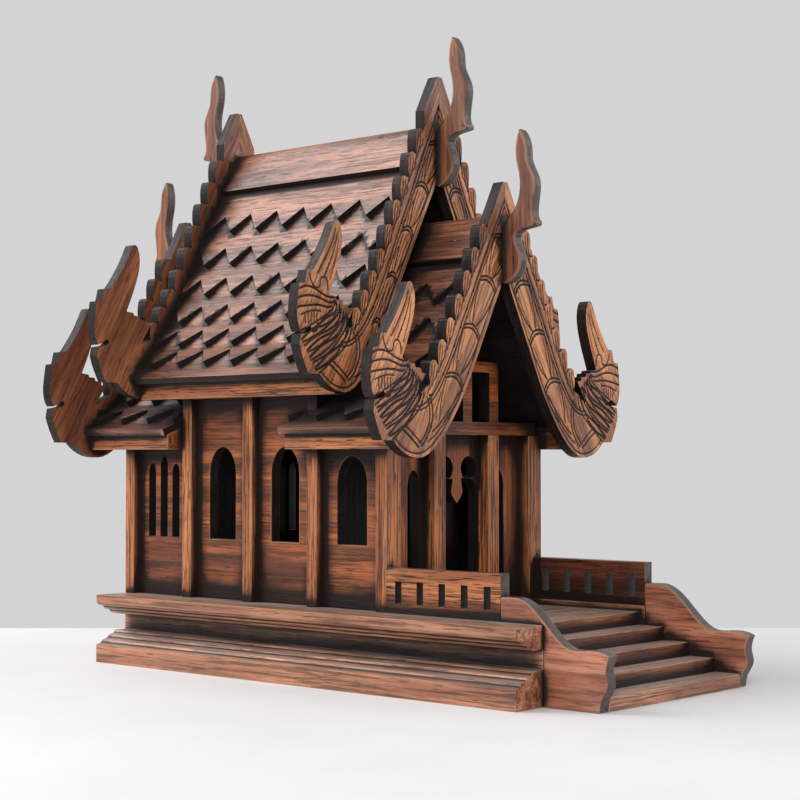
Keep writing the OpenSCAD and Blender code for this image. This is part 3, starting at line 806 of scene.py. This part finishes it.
@dataclass(frozen=True)
class BoardForm:
    """Sizes of one gable's bargeboard, in millimetres, x outward and z up."""

    inner: float
    outer: float
    fin_deg: float
    foot: Point
    first_fin: float
    fins: int
    bands: tuple[float, ...]
    fin_gap: float
    inner_deg: float = 62.3
    fin_height: float = 17.0
    foot_bend: float = 52.0
    nape_bend: float = 32.0
    nape: Point = (2.4, 37.8)

    def inner_edge(self) -> np.ndarray:
        """Draws the board's lower edge.

        Returns:
            Its points from the peak round the foot to the chin.
        """
        slope = math.radians(self.inner_deg)
        fall = np.array((math.cos(slope), -math.sin(slope)))
        foot = np.array(self.foot)
        x = foot[0] - self.foot_bend
        start = np.array((x, self.inner - x * math.tan(slope)))
        arm = np.linspace((-8.0, self.inner + 8.0 * math.tan(slope)), start, 60)
        bend = bow(start, start + 26.0 * fall, foot + (-18.0, 0.0), foot, 40)
        chin = bow(foot, foot + (9.0, 0.0), foot + (17.0, 4.0), foot + (23.0, 10.5), 20)
        return np.vstack((arm, bend[1:], chin[1:]))

    def fin_edge(self) -> np.ndarray:
        """Draws the line that the fins stand on.

        Returns:
            Its points from the peak to the nape.
        """
        slope = math.radians(self.fin_deg)
        fall = np.array((math.cos(slope), -math.sin(slope)))
        nape = np.array(self.foot) + self.nape
        x = self.foot[0] - self.nape_bend
        start = np.array((x, self.outer - x * math.tan(slope)))
        arm = np.linspace((0.0, self.outer), start, 60)
        bend = bow(start, start + 14.0 * fall, nape + (-12.0, -3.0), nape, 30)
        return np.vstack((arm, bend[1:]))

    def on_arm(self, s: float, t: float) -> Point:
        """Finds a point of the arm.

        Args:
            s: How far down the arm it lies.
            t: How far out from the lower edge it lies.

        Returns:
            The point.
        """
        slope = math.radians(self.inner_deg)
        return (s * math.cos(slope) + t * math.sin(slope),
                self.inner - s * math.sin(slope) + t * math.cos(slope))

    def width(self, s: float) -> float:
        """Measures the arm between its lower edge and the fins' line.

        Args:
            s: How far down the arm.

        Returns:
            The width there.
        """
        slope, other = math.radians(self.inner_deg), math.tan(math.radians(self.fin_deg))
        x, z = self.on_arm(s, 0.0)
        return (self.outer - x * other - z) / (math.cos(slope) + math.sin(slope) * other)


@dataclass
class Carving:
    """The gouge cuts of one bargeboard: bamboo-like arm, fins, foot and naga head."""

    form: BoardForm
    low_gap: float = 2.8
    high_gap: float = 9.3
    arch: float = 4.2
    ring_gap: float = 2.7
    last_leaf: float = 34.0
    strands: int = 13

    def strokes(self) -> list[Stroke]:
        """Returns every cut of the board."""
        return [*self._borders(), *self._bands(), *self._leaves(), *self._fins(), *self._foot(),
                *self._mane(), *self._face()]

    def _head(self, *points: Point) -> list[Point]:
        """Returns points given from the foot as points of the gable."""
        return [(self.form.foot[0] + x, self.form.foot[1] + z) for x, z in points]

    def _borders(self) -> list[Stroke]:
        """Draws lines along both edges of the arm.

        Returns:
            The cuts.
        """
        low, high = self.form.inner_edge(), self.form.fin_edge()
        return [Stroke(beside(low, -2.6), 0.62), Stroke(beside(high, 6.4), 0.75, 0.95),
                Stroke(beside(high, 8.8), 0.6)]

    def _bands(self) -> list[Stroke]:
        """Draws pairs of arched rings across the arm.

        Returns:
            The cuts.
        """
        cuts = []
        for s in self.form.bands:
            low, high = self.low_gap, self.form.width(s) - self.high_gap
            t = np.linspace(low, high, 30)
            arch = self.arch * (1.0 - ((t - low) / (high - low) * 2.0 - 1.0) ** 2)
            for gap in (0.0, self.ring_gap):
                ring = [self.form.on_arm(s + gap - a, q) for a, q in zip(arch, t)]
                cuts.append(Stroke(np.array(ring), 0.8, 1.0))
        return cuts

    def _leaves(self) -> list[Stroke]:
        """Draws long leaf lines that close towards the next ring.

        Returns:
            The cuts.
        """
        cuts = []
        ends = (*self.form.bands, self.form.bands[-1] + self.last_leaf)
        at = self.form.on_arm
        for upper, lower in zip(ends, ends[1:]):
            top = self.form.width(lower) - self.high_gap
            tip = at(lower - 5.5, 0.46 * top)
            high_tip = at(lower - 4.6, 0.66 * top)
            side_tip = at(lower - 3.5, 0.82 * top)
            for start, rise, fall, end, half, depth in (
                    ((3.5, 3.2), (12.0, 3.6), (15.0, 0.2), tip, 0.7, 0.85),
                    ((4.5, 5.4), (14.0, 7.0), (13.0, 0.38), tip, 0.5, 0.6),
                    ((3.5, top - 0.5), (12.0, top - 0.8), (14.0, 0.86), high_tip, 0.62, 0.85),
                    ((4.0, top - 3.0), (14.0, top - 4.2), (13.0, 0.72), high_tip, 0.45, 0.5),
                    ((13.0, top), (20.0, top), (10.0, 0.95), side_tip, 0.5, 0.6)):
                path = bow(at(upper + start[0], start[1]), at(upper + rise[0], rise[1]),
                           at(lower - fall[0], fall[1] * top), end)
                cuts.append(Stroke(path, half, depth))
        return cuts

    def _fins(self) -> list[Stroke]:
        """Draws upright cuts on each fin.

        Returns:
            The cuts.
        """
        edge = self.form.fin_edge()
        run = self.form.foot[0] - self.form.fin_gap - self.form.first_fin
        step = run / (self.form.fins - 1)
        cuts = []
        for k in range(self.form.fins):
            x = self.form.first_fin + k * step
            base, inner = (float(q) for q in np.interp((x, x - step), edge[:, 0], edge[:, 1]))
            top = min(base + self.form.fin_height, inner + 4.0)
            for inset, drop in ((2.3, 3.0), (4.6, 3.6), (6.7, 7.0)):
                a = (x - inset, top - drop)
                foot = x - inset + 4.2
                d = (foot, float(np.interp(foot, edge[:, 0], edge[:, 1])) - 4.0)
                path = bow(a, (a[0] + 0.3, a[1] - 6.0), (d[0] - 2.2, d[1] + 6.0), d, 24)
                cuts.append(Stroke(path, 0.55, 0.7))
        return cuts

    def _foot(self) -> list[Stroke]:
        """Draws the rounded scale and crossing lines of the foot.

        Returns:
            The cuts.
        """
        cuts = (((-11.0, 38.5), (-15.5, 31.0), (-16.0, 17.0), (-3.5, 7.5), 0.8, 1.0),
                ((-8.6, 37.5), (-12.8, 30.0), (-13.2, 18.5), (-1.8, 9.0), 0.7, 0.85),
                ((14.6, 17.6), (9.5, 14.5), (4.5, 11.0), (-0.6, 6.6), 0.8, 1.0),
                ((12.2, 20.0), (7.5, 17.0), (2.0, 13.4), (-2.6, 9.0), 0.7, 0.85),
                ((-43.0, 43.5), (-33.0, 34.0), (-24.0, 22.0), (-13.8, 16.0), 0.75, 0.85),
                ((-36.0, 33.5), (-29.0, 26.0), (-20.0, 15.0), (-9.0, 9.6), 0.6, 0.85))
        return [Stroke(bow(*self._head(*points)), half, depth) for *points, half, depth in cuts]

    def _mane(self) -> list[Stroke]:
        """Draws wavy strands from the crest to the chin.

        Returns:
            The cuts.
        """
        cuts = []
        for i in range(self.strands):
            a = i / (self.strands - 1)
            root = (-5.5 + 15.0 * a, 45.0 + 11.5 * a)
            end = (24.0 + 17.5 * a, 10.5 + 25.5 * a)
            fall = (root[0] - 1.0, root[1] - 15.0 + 5.0 * a)
            path = bow(*self._head(root, fall, (end[0] - 15.0, end[1] + 8.5), end), 50)
            sway = np.sin(np.linspace(0.0, 6.5 + 1.2 * (i % 4), 50) + 2.3 * i)
            wave = (0.6 + 0.25 * (i % 3)) * sway
            half, depth = 0.6 + 0.2 * (i % 3), 1.0 + 0.2 * (i % 2)
            cuts.append(Stroke(beside(path, wave[:, None]), half, depth))
        return cuts

    def _face(self) -> list[Stroke]:
        """Draws the brow, jaw, teeth and horn of the naga.

        Returns:
            The cuts.
        """
        cuts = []
        brows = (((7.0, 60.2), (41.5, 62.5)), ((9.0, 57.0), (42.8, 57.0)),
                 ((13.0, 53.6), (42.8, 51.0)))
        for j, (left, right) in enumerate(brows):
            brow = self._head(left, (18.0, left[1] - 4.0), (30.0, right[1] + 5.0), right)
            path = bow(*brow, 50)
            wave = 0.7 * np.sin(np.linspace(0.0, 7.0, 50) + j)
            cuts.append(Stroke(beside(path, wave[:, None]), 0.75, 0.95))
        for x in (25.0, 27.6, 30.2, 32.8, 35.4):
            tooth = self._head((x, 48.0), (x + 0.3, 46.0), (x + 0.2, 44.0), (x - 0.2, 41.4))
            cuts.append(Stroke(bow(*tooth, 12), 0.55, 0.8))
        lip = self._head((22.0, 49.4), (28.0, 50.2), (34.0, 48.6), (39.0, 46.4))
        eye = self._head((24.0, 40.0), (26.0, 36.5), (29.0, 36.0), (31.0, 38.4))
        cuts.extend((Stroke(bow(*lip), 0.6), Stroke(bow(*eye, 16), 1.0, 1.3)))
        horn = (((15.5, 63.0), (15.0, 73.0), (22.0, 73.0), (22.5, 66.5), 0.7, 0.85),
                ((22.5, 66.5), (23.5, 61.5), (30.0, 63.0), (31.5, 72.0), 0.7, 0.85),
                ((24.5, 73.0), (18.0, 82.0), (12.0, 91.0), (8.6, 101.5), 0.6, 0.85),
                ((18.5, 72.0), (13.5, 80.0), (9.0, 90.0), (7.0, 98.0), 0.6, 0.85),
                ((13.5, 70.0), (9.5, 79.0), (6.5, 88.0), (6.2, 95.0), 0.5, 0.6))
        cuts.extend(Stroke(bow(*self._head(*points)), half, depth) for *points, half, depth in horn)
        return cuts


MAIN_BOARD = BoardForm(
    inner=332.0, outer=393.0, fin_deg=65.2, foot=(91.5, 184.0), first_fin=23.0, fins=9,
    bands=(-14.0, 18.0, 52.0, 86.5, 120.5), fin_gap=7.0)
LOW_BOARD = BoardForm(
    inner=262.0, outer=323.5, fin_deg=62.0, foot=(86.0, 143.0), first_fin=26.0, fins=7,
    bands=(-17.0, 15.0, 50.5, 86.0), fin_gap=11.0)


@dataclass
class CarvedBoard(Piece):
    """A bargeboard with gouge cuts on its outward face."""

    form: BoardForm = MAIN_BOARD
    facing: int = -1
    pitch: float = 0.56
    row_step: float = 0.866
    rim_clear: float = 0.55
    rim_pitch: float = 0.15
    dish: float = 0.3
    dish_reach: float = 1.5
    dark_reach: float = 1.45
    dark_base: float = 0.25
    flush: float = 0.01 * MM

    def outward(self) -> Vector:
        """Returns the way the carved face looks."""
        return Vector((0.0, float(self.facing), 0.0))

    def build(self, source: bpy.types.Object, shade: Occlusion) -> bpy.types.Object:
        """Makes the carved board that stands for the node.

        Args:
            source: The CAD node.
            shade: The house's closed-in places.

        Returns:
            The dressed piece.
        """
        sheet = bmesh.new()
        sheet.from_mesh(source.data)
        self._clean(sheet)
        self._round_edges(sheet)
        low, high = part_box(self.node)
        plane = low.y if self.facing < 0 else high.y
        front = [f for f in sheet.faces if abs(f.normal.y) > 0.999 and self._in_plane(f, plane)]
        bmesh.ops.delete(sheet, geom=front, context="FACES_KEEP_BOUNDARY")
        self._divide(sheet)
        fresh = self._fill(sheet, self._rim(sheet, plane), plane)
        self._shade(sheet, shade, frozenset(fresh))
        return self._dress(sheet)

    def _in_plane(self, part: bmesh.types.BMFace | bmesh.types.BMEdge, plane: float) -> bool:
        """Tells whether a face or an edge lies in the front plane."""
        return all(abs(v.co.y - plane) < self.flush for v in part.verts)

    def _rim(self, sheet: bmesh.types.BMesh, plane: float) -> list[bmesh.types.BMVert]:
        """Follows the open front edge.

        Args:
            sheet: The board, open at the front.
            plane: Where the front face lies.

        Returns:
            The edge's points in order.
        """
        edges = [e for e in sheet.edges if len(e.link_faces) == 1 and self._in_plane(e, plane)]
        after: dict[bmesh.types.BMVert, list[bmesh.types.BMVert]] = {}
        for edge in edges:
            a, b = edge.verts
            after.setdefault(a, []).append(b)
            after.setdefault(b, []).append(a)
        start = edges[0].verts[0]
        loop, last, here = [start], None, start
        while True:
            step = next(v for v in after[here] if v is not last)
            if step is start:
                return loop
            loop.append(step)
            last, here = here, step

    def _lattice(self, rim: np.ndarray) -> np.ndarray:
        """Lays a grid of points inside the rim.

        Args:
            rim: The rim's points in order, in millimetres.

        Returns:
            The grid's points, in millimetres.
        """
        low, high = rim.min(axis=0), rim.max(axis=0)
        rows = np.arange(low[1], high[1], self.pitch * self.row_step)
        cols = np.arange(low[0], high[0], self.pitch)
        half = self.pitch / 2
        grid = np.array([(x + (i % 2) * half, z) for i, z in enumerate(rows) for x in cols])
        inside = np.zeros(len(grid), dtype=bool)
        for a, b in zip(rim, np.roll(rim, -1, axis=0)):
            crosses = (a[1] > grid[:, 1]) != (b[1] > grid[:, 1])
            if a[1] != b[1]:
                reach = (b[0] - a[0]) * (grid[:, 1] - a[1]) / (b[1] - a[1]) + a[0]
                inside ^= crosses & (grid[:, 0] < reach)
        grid = grid[inside]
        fence = Stroke(np.vstack((rim, rim[:1]))).samples(self.rim_pitch)
        tree = KDTree(len(fence))
        for i, p in enumerate(fence):
            tree.insert((p[0], p[1], 0.0), i)
        tree.balance()
        clear = np.array([tree.find((x, z, 0.0))[2] for x, z in grid])
        return grid[clear > self.rim_clear * self.pitch]

    def _depths(self, points: np.ndarray) -> tuple[np.ndarray, np.ndarray]:
        """Looks up the carving at each point.

        Args:
            points: Points of the front face, in millimetres.

        Returns:
            How deep each point is cut, and how dark its cut is.
        """
        strokes = Carving(self.form).strokes()
        marks = [(p, s) for s in strokes for p in s.samples()]
        tree = KDTree(len(marks))
        for i, (p, _) in enumerate(marks):
            tree.insert((p[0], p[1], 0.0), i)
        tree.balance()
        depth, dark = np.zeros(len(points)), np.zeros(len(points))
        for i, (x, z) in enumerate(points):
            _, index, gap = tree.find((abs(x), z, 0.0))
            stroke = marks[index][1]
            near = gap / stroke.half
            rounding = self.dish * math.exp(-((gap / self.dish_reach) ** 2))
            depth[i] = stroke.depth * max(0.0, 1.0 - near * near) + rounding
            fade = min(1.0, max(0.0, self.dark_reach - near))
            dark[i] = fade * min(1.0, stroke.depth + self.dark_base)
        return depth, dark

    def _fill(self, sheet: bmesh.types.BMesh, rim: list[bmesh.types.BMVert],
              plane: float) -> list[bmesh.types.BMVert]:
        """Closes the front with a fine carved sheet.

        Args:
            sheet: The board, open at the front.
            rim: The open edge's points in order.
            plane: Where the front face lies.

        Returns:
            The new points.
        """
        cut = sheet.verts.layers.float["carve"]
        border = np.array([(v.co.x, v.co.z) for v in rim]) / MM
        grid = self._lattice(border)
        depth, dark = self._depths(grid)
        verts = list(rim)
        for (x, z), d, k in zip(grid, depth, dark):
            vert = sheet.verts.new((x * MM, plane - self.facing * d * MM, z * MM))
            vert[cut] = k
            verts.append(vert)
        flat = [Vector((float(p[0]), float(p[1]))) for p in np.vstack((border, grid))]
        ring = list(range(len(rim)))
        result = delaunay_2d_cdt(flat, [], [ring], 1, 1e-5)
        for tri in result[2]:
            corner = [verts[result[3][i][0]] for i in tri]
            a, b, c = (v.co for v in corner)
            up = (b.x - a.x) * (c.z - a.z) - (c.x - a.x) * (b.z - a.z)
            if up * self.facing > 0.0:
                corner.reverse()
            face = sheet.faces.new(corner)
            face.smooth = True
        return verts[len(rim):]


def tell(piece: bpy.types.Object) -> None:
    """Reports a finished piece."""
    LOG.info("%s: %d faces", piece.name, len(piece.data.polygons))


@dataclass
class House:
    """All boards of the house and the finish of each."""

    shade: Occlusion = field(default_factory=Occlusion)

    @staticmethod
    def stains_and_shade_of(node: str) -> tuple[tuple[StainAndShade, TeakFinish], ...]:
        """Tells which faces of a node have a finish of their own, some dark-stained, some painted
        shade.

        Args:
            node: The CAD node's name.

        Returns:
            The faces and their finish, the first that fits a face being used.
        """
        if "roof" in node:
            # The shingles' cut edges get painted shade.
            return ((StainAndShade.TEETH, SHADE_BLACK_TEAK),)
        if "barge" in node:
            # The bargeboards' back faces get painted shade.
            return ((StainAndShade.BOARD_SIDES, EDGE_TEAK), (StainAndShade.INNER_FACE, SHADED_TEAK))
        if "balustrade" in node:
            # The balustrades' inner faces get painted shade.
            return ((StainAndShade.PROFILE_SIDES, RAIL_TEAK), (StainAndShade.PORCH_FACE, PORCH_SHADE_TEAK))
        if "chofa" in node or "cheek" in node:
            return ((StainAndShade.PROFILE_SIDES, RAIL_TEAK),)
        if "step" in node or node == "porch_deck":
            # Risers above the first get painted shade; the first, in the open, keeps the lit plinth
            # finish.
            return ((StainAndShade.RISERS, BASE_TEAK if node == "step_1" else SHADED_TEAK),)
        # Faces inside the rooms, here and below, get painted shade.
        if node in ("front_wall", "back_wall") or "gable_frame" in node:
            return ((StainAndShade.END_ROOM, SHADE_BLACK_TEAK),)
        if "wall" in node and node != "cross_wall":
            return ((StainAndShade.SIDE_ROOM, SHADE_BLACK_TEAK),)
        return ()

    @staticmethod
    def finish_of(node: str) -> tuple[TeakFinish, Grain]:
        """Tells what a node is finished in.

        Args:
            node: The CAD node's name.

        Returns:
            The finish and the way its grain runs.
        """
        if "roof" in node:
            return ROOF_TEAK, Grain.LENGTHWISE
        if "barge" in node:
            return CARVED_TEAK, Grain.LEFT_ARM if node.endswith("left") else Grain.RIGHT_ARM
        if "chofa" in node:
            return SHADED_TEAK, Grain.UPRIGHT
        if "posts" in node:
            return POST_TEAK, Grain.UPRIGHT
        if "beams" in node or "balustrade" in node:
            return POST_TEAK, Grain.LENGTHWISE
        if node == "cross_wall":
            # The cross wall inside is painted near black as shade.
            return SHADE_BLACK_TEAK, Grain.UPRIGHT
        if node in ("front_wall", "back_wall"):
            return WALL_TEAK, Grain.UPRIGHT
        if "gable_frame" in node:
            return WALL_TEAK, Grain.ACROSS
        if "wall" in node:
            return WALL_TEAK, Grain.LENGTHWISE
        if "step" in node or node == "porch_deck":
            return STEP_SHEEN_TEAK, Grain.ACROSS
        if node == "plinth_back":
            return BASE_TEAK, Grain.ACROSS
        if "cheek" in node:
            return CHEEK_TEAK, Grain.LENGTHWISE
        return BASE_TEAK, Grain.LENGTHWISE

    @staticmethod
    def sizes_of(node: str) -> dict[str, float]:
        """Tells how a node's copy is rounded and divided.

        Args:
            node: The CAD node's name.

        Returns:
            The rounding of outer and inner edges and the grid's cell.
        """
        edge, groove, cell = 0.7, 0.7, 6.0
        if "chofa" in node:
            edge = 2.0
        elif "cheek" in node:
            edge = 1.1
        elif "plinth" in node:
            edge, groove = 0.5, 1.0
        elif "barge" in node:
            edge, groove = 0.9, 0.9
        elif "roof" in node:
            cell = 4.5
        return {"edge": edge * MM, "groove": groove * MM, "cell": cell * MM}

    def build(self, nodes: dict[str, bpy.types.Object]) -> None:
        """Makes every piece.

        Args:
            nodes: The frame's nodes by name.
        """
        self.shade.gather(nodes)
        for number, (name, source) in enumerate(sorted(nodes.items())):
            finish, grain = self.finish_of(name)
            given = (name, finish, grain, PLANK_STEP * number, self.stains_and_shade_of(name))
            if "barge" in name:
                board = CarvedBoard(*given, **self.sizes_of(name),
                                    form=MAIN_BOARD if name.startswith("main") else LOW_BOARD,
                                    facing=-1 if "front" in name else 1)
            else:
                board = Piece(*given, **self.sizes_of(name))
            tell(board.build(source, self.shade))


@dataclass
class Nails:
    """Domed nail heads in the ridge boards, set out in pairs by Geometry Nodes."""

    radius: float = 1.15 * MM
    flatness: float = 0.42
    segments: int = 16
    rings: int = 8
    ridge: float = 300.0 * MM
    pitch: float = 56.3
    down: tuple[float, ...] = (8.5 * MM, 18.0 * MM)
    along: tuple[float, ...] = (-68.0 * MM, 176.2 * MM)

    def marks(self) -> bpy.types.Object:
        """Marks each nail's place and outward direction.

        Returns:
            An object with a point for each nail.
        """
        slope = math.radians(self.pitch)
        points, aims = [], []
        for side in (-1.0, 1.0):
            out = Vector((side * math.sin(slope), 0.0, math.cos(slope)))
            for y in self.along:
                for s in self.down:
                    spot = (side * s * math.cos(slope), y, self.ridge - s * math.sin(slope))
                    points.append(Vector(spot))
                    aims.append(out)
        mesh = bpy.data.meshes.new("nail_marks")
        mesh.from_pydata(points, [], [])
        aim = mesh.attributes.new("aim", "FLOAT_VECTOR", "POINT")
        for item, out in zip(aim.data, aims):
            item.vector = out
        marks = bpy.data.objects.new("nail_marks", mesh)
        bpy.context.collection.objects.link(marks)
        return marks

    def tree(self) -> bpy.types.GeometryNodeTree:
        """Lays out the tree that sets a domed head on each mark.

        Returns:
            The tree.
        """
        tree = bpy.data.node_groups.new("nail_heads", "GeometryNodeTree")
        for name, way, kind in (("Geometry", "INPUT", "Geometry"), ("Radius", "INPUT", "Float"),
                                ("Flatness", "INPUT", "Float"), ("Iron", "INPUT", "Material"),
                                ("Geometry", "OUTPUT", "Geometry")):
            tree.interface.new_socket(name, in_out=way, socket_type=f"NodeSocket{kind}")
        kinds = ("NodeGroupInput", "GeometryNodeMeshUVSphere", "ShaderNodeCombineXYZ",
                 "GeometryNodeTransform", "GeometryNodeInputNamedAttribute",
                 "FunctionNodeAlignRotationToVector", "GeometryNodeInstanceOnPoints",
                 "GeometryNodeRealizeInstances", "GeometryNodeSetMaterial", "NodeGroupOutput")
        nodes = [tree.nodes.new(kind) for kind in kinds]
        given, ball, squash, dome, aim, turn, copies, real, paint, result = nodes
        ball.inputs["Segments"].default_value = self.segments
        ball.inputs["Rings"].default_value = self.rings
        aim.data_type = "FLOAT_VECTOR"
        aim.inputs["Name"].default_value = "aim"
        turn.axis = "Z"
        squash.inputs["X"].default_value = squash.inputs["Y"].default_value = 1.0
        vector = next(o for o in aim.outputs if o.enabled and o.type == "VECTOR")
        for start, end in (
                (given.outputs["Radius"], ball.inputs["Radius"]),
                (given.outputs["Flatness"], squash.inputs["Z"]),
                (ball.outputs["Mesh"], dome.inputs["Geometry"]),
                (squash.outputs[0], dome.inputs["Scale"]),
                (vector, turn.inputs["Vector"]),
                (given.outputs["Geometry"], copies.inputs["Points"]),
                (dome.outputs["Geometry"], copies.inputs["Instance"]),
                (turn.outputs["Rotation"], copies.inputs["Rotation"]),
                (copies.outputs["Instances"], real.inputs["Geometry"]),
                (real.outputs["Geometry"], paint.inputs["Geometry"]),
                (given.outputs["Iron"], paint.inputs["Material"]),
                (paint.outputs["Geometry"], result.inputs["Geometry"])):
            tree.links.new(start, end)
        return tree

    def build(self) -> bpy.types.Object:
        """Makes all nail heads as one plain mesh.

        Returns:
            The nails, riding on the house.
        """
        marks = self.marks()
        tree = self.tree()
        modifier = marks.modifiers.new("nail_heads", "NODES")
        modifier.node_group = tree
        values = {"Radius": self.radius, "Flatness": self.flatness, "Iron": NAIL_IRON.material()}
        for item in tree.interface.items_tree:
            if item.in_out == "INPUT" and item.name in values:
                modifier[item.identifier] = values[item.name]
        ready = marks.evaluated_get(bpy.context.evaluated_depsgraph_get())
        mesh = bpy.data.meshes.new_from_object(ready)
        marks.modifiers.remove(modifier)
        bpy.data.objects.remove(marks)
        mesh.shade_smooth()
        nails = bpy.data.objects.new("ridge_nails", mesh)
        bpy.context.collection.objects.link(nails)
        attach(nails, "root")
        return nails


@dataclass(frozen=True)
class Lamp:
    """One square soft lamp: its place and size in metres and its power in watts."""

    name: str
    place: Place
    size: float
    watts: float


LAMPS = (Lamp("overhead", (-0.75, 1.25, 1.45), 1.5, 30.0),
         Lamp("window", (-1.7, -1.2, 1.3), 1.2, 23.0),
         Lamp("front", (1.4, -1.6, 1.15), 1.4, 10.0))


@dataclass
class Studio:
    """Pale floor, soft light and the camera."""

    eye: Vector = field(default_factory=lambda: Vector((-0.90172, -0.80462, 0.14463)))
    azimuth: float = -48.667
    pitch: float = 1.783
    lens: float = 79.83
    sensor: float = 36.0
    clip: Point = (0.05, 50.0)
    table_edge: float = 1.49
    table_near: float = 1.2
    table_half: float = 2.6
    table_drop: float = 0.03
    background: Colour = (0.655, 0.655, 0.665)
    sky: Colour = (0.97, 0.98, 1.0)
    sky_strength: float = 0.38
    aim: Vector = field(default_factory=lambda: Vector((0.0, 0.0, 0.18)))

    def forward(self) -> Vector:
        """Turns the camera's angles into a direction.

        Returns:
            The direction of view.
        """
        turn, rise = math.radians(self.azimuth), math.radians(self.pitch)
        level = math.cos(rise)
        return Vector((-math.sin(turn) * level, math.cos(turn) * level, math.sin(rise)))

    def camera(self) -> None:
        """Sets the camera at the photograph's view."""
        data = bpy.data.cameras.new("camera")
        data.sensor_width = self.sensor
        data.lens = self.lens
        data.clip_start, data.clip_end = self.clip
        camera = bpy.data.objects.new("camera", data)
        camera.location = self.eye
        camera.rotation_mode = "QUATERNION"
        camera.rotation_quaternion = self.forward().to_track_quat("-Z", "Y")
        bpy.context.collection.objects.link(camera)
        bpy.context.scene.camera = camera

    def floor(self) -> None:
        """Lays a pale table top that ends behind the house."""
        ahead = self.forward()
        ahead.z = 0.0
        ahead.normalize()
        aside = Vector((ahead.y, -ahead.x, 0.0))
        foot = Vector((self.eye.x, self.eye.y, 0.0))
        near, far = foot - ahead * self.table_near, foot + ahead * self.table_edge
        half = aside * self.table_half
        top = [near - half, near + half, far + half, far - half]
        drop = Vector((0.0, 0.0, -self.table_drop))
        mesh = bpy.data.meshes.new("table_top")
        faces = ((0, 1, 2, 3), (7, 6, 5, 4), (0, 4, 5, 1), (1, 5, 6, 2), (2, 6, 7, 3), (3, 7, 4, 0))
        mesh.from_pydata([*top, *(c + drop for c in top)], [], faces)
        floor = bpy.data.objects.new("table_top", mesh)
        bpy.context.collection.objects.link(floor)
        mesh.materials.append(PALE_TABLE.material())

    def lights(self) -> None:
        """Hangs a broad soft light overhead and fills in from all round."""
        world = bpy.data.worlds.new("studio")
        bpy.context.scene.world = world
        world.use_nodes = True
        tree = world.node_tree
        tree.nodes.clear()
        sky = tree.nodes.new("ShaderNodeBackground")
        wall = tree.nodes.new("ShaderNodeBackground")
        choose = tree.nodes.new("ShaderNodeMixShader")
        path = tree.nodes.new("ShaderNodeLightPath")
        output = tree.nodes.new("ShaderNodeOutputWorld")
        sky.inputs["Color"].default_value = (*self.sky, 1.0)
        sky.inputs["Strength"].default_value = self.sky_strength
        wall.inputs["Color"].default_value = (*self.background, 1.0)
        wall.inputs["Strength"].default_value = 1.0
        shown = path.outputs["Is Camera Ray"]
        for kind in ("Is Glossy Ray", "Is Transmission Ray"):
            either = tree.nodes.new("ShaderNodeMath")
            either.operation = "MAXIMUM"
            tree.links.new(shown, either.inputs[0])
            tree.links.new(path.outputs[kind], either.inputs[1])
            shown = either.outputs[0]
        tree.links.new(shown, choose.inputs["Fac"])
        tree.links.new(sky.outputs[0], choose.inputs[1])
        tree.links.new(wall.outputs[0], choose.inputs[2])
        tree.links.new(choose.outputs[0], output.inputs["Surface"])
        for lamp in LAMPS:
            self._hang(lamp)

    def _hang(self, lamp: Lamp) -> None:
        """Hangs one lamp that faces the house.

        Args:
            lamp: The lamp's place, size and power.
        """
        data = bpy.data.lights.new(lamp.name, "AREA")
        data.size = lamp.size
        data.energy = lamp.watts
        light = bpy.data.objects.new(lamp.name, data)
        light.location = lamp.place
        light.rotation_mode = "QUATERNION"
        light.rotation_quaternion = (self.aim - light.location).to_track_quat("-Z", "Y")
        bpy.context.collection.objects.link(light)


def main() -> None:
    """Builds the house, its nail heads and the studio."""
    logging.basicConfig(level=logging.INFO, format="%(name)s: %(message)s")
    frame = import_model()
    bpy.context.scene.view_settings.view_transform = "Standard"
    House().build(frame["nodes"])
    tell(Nails().build())
    studio = Studio()
    studio.camera()
    studio.floor()
    studio.lights()


if __name__ == "__main__":
    main()
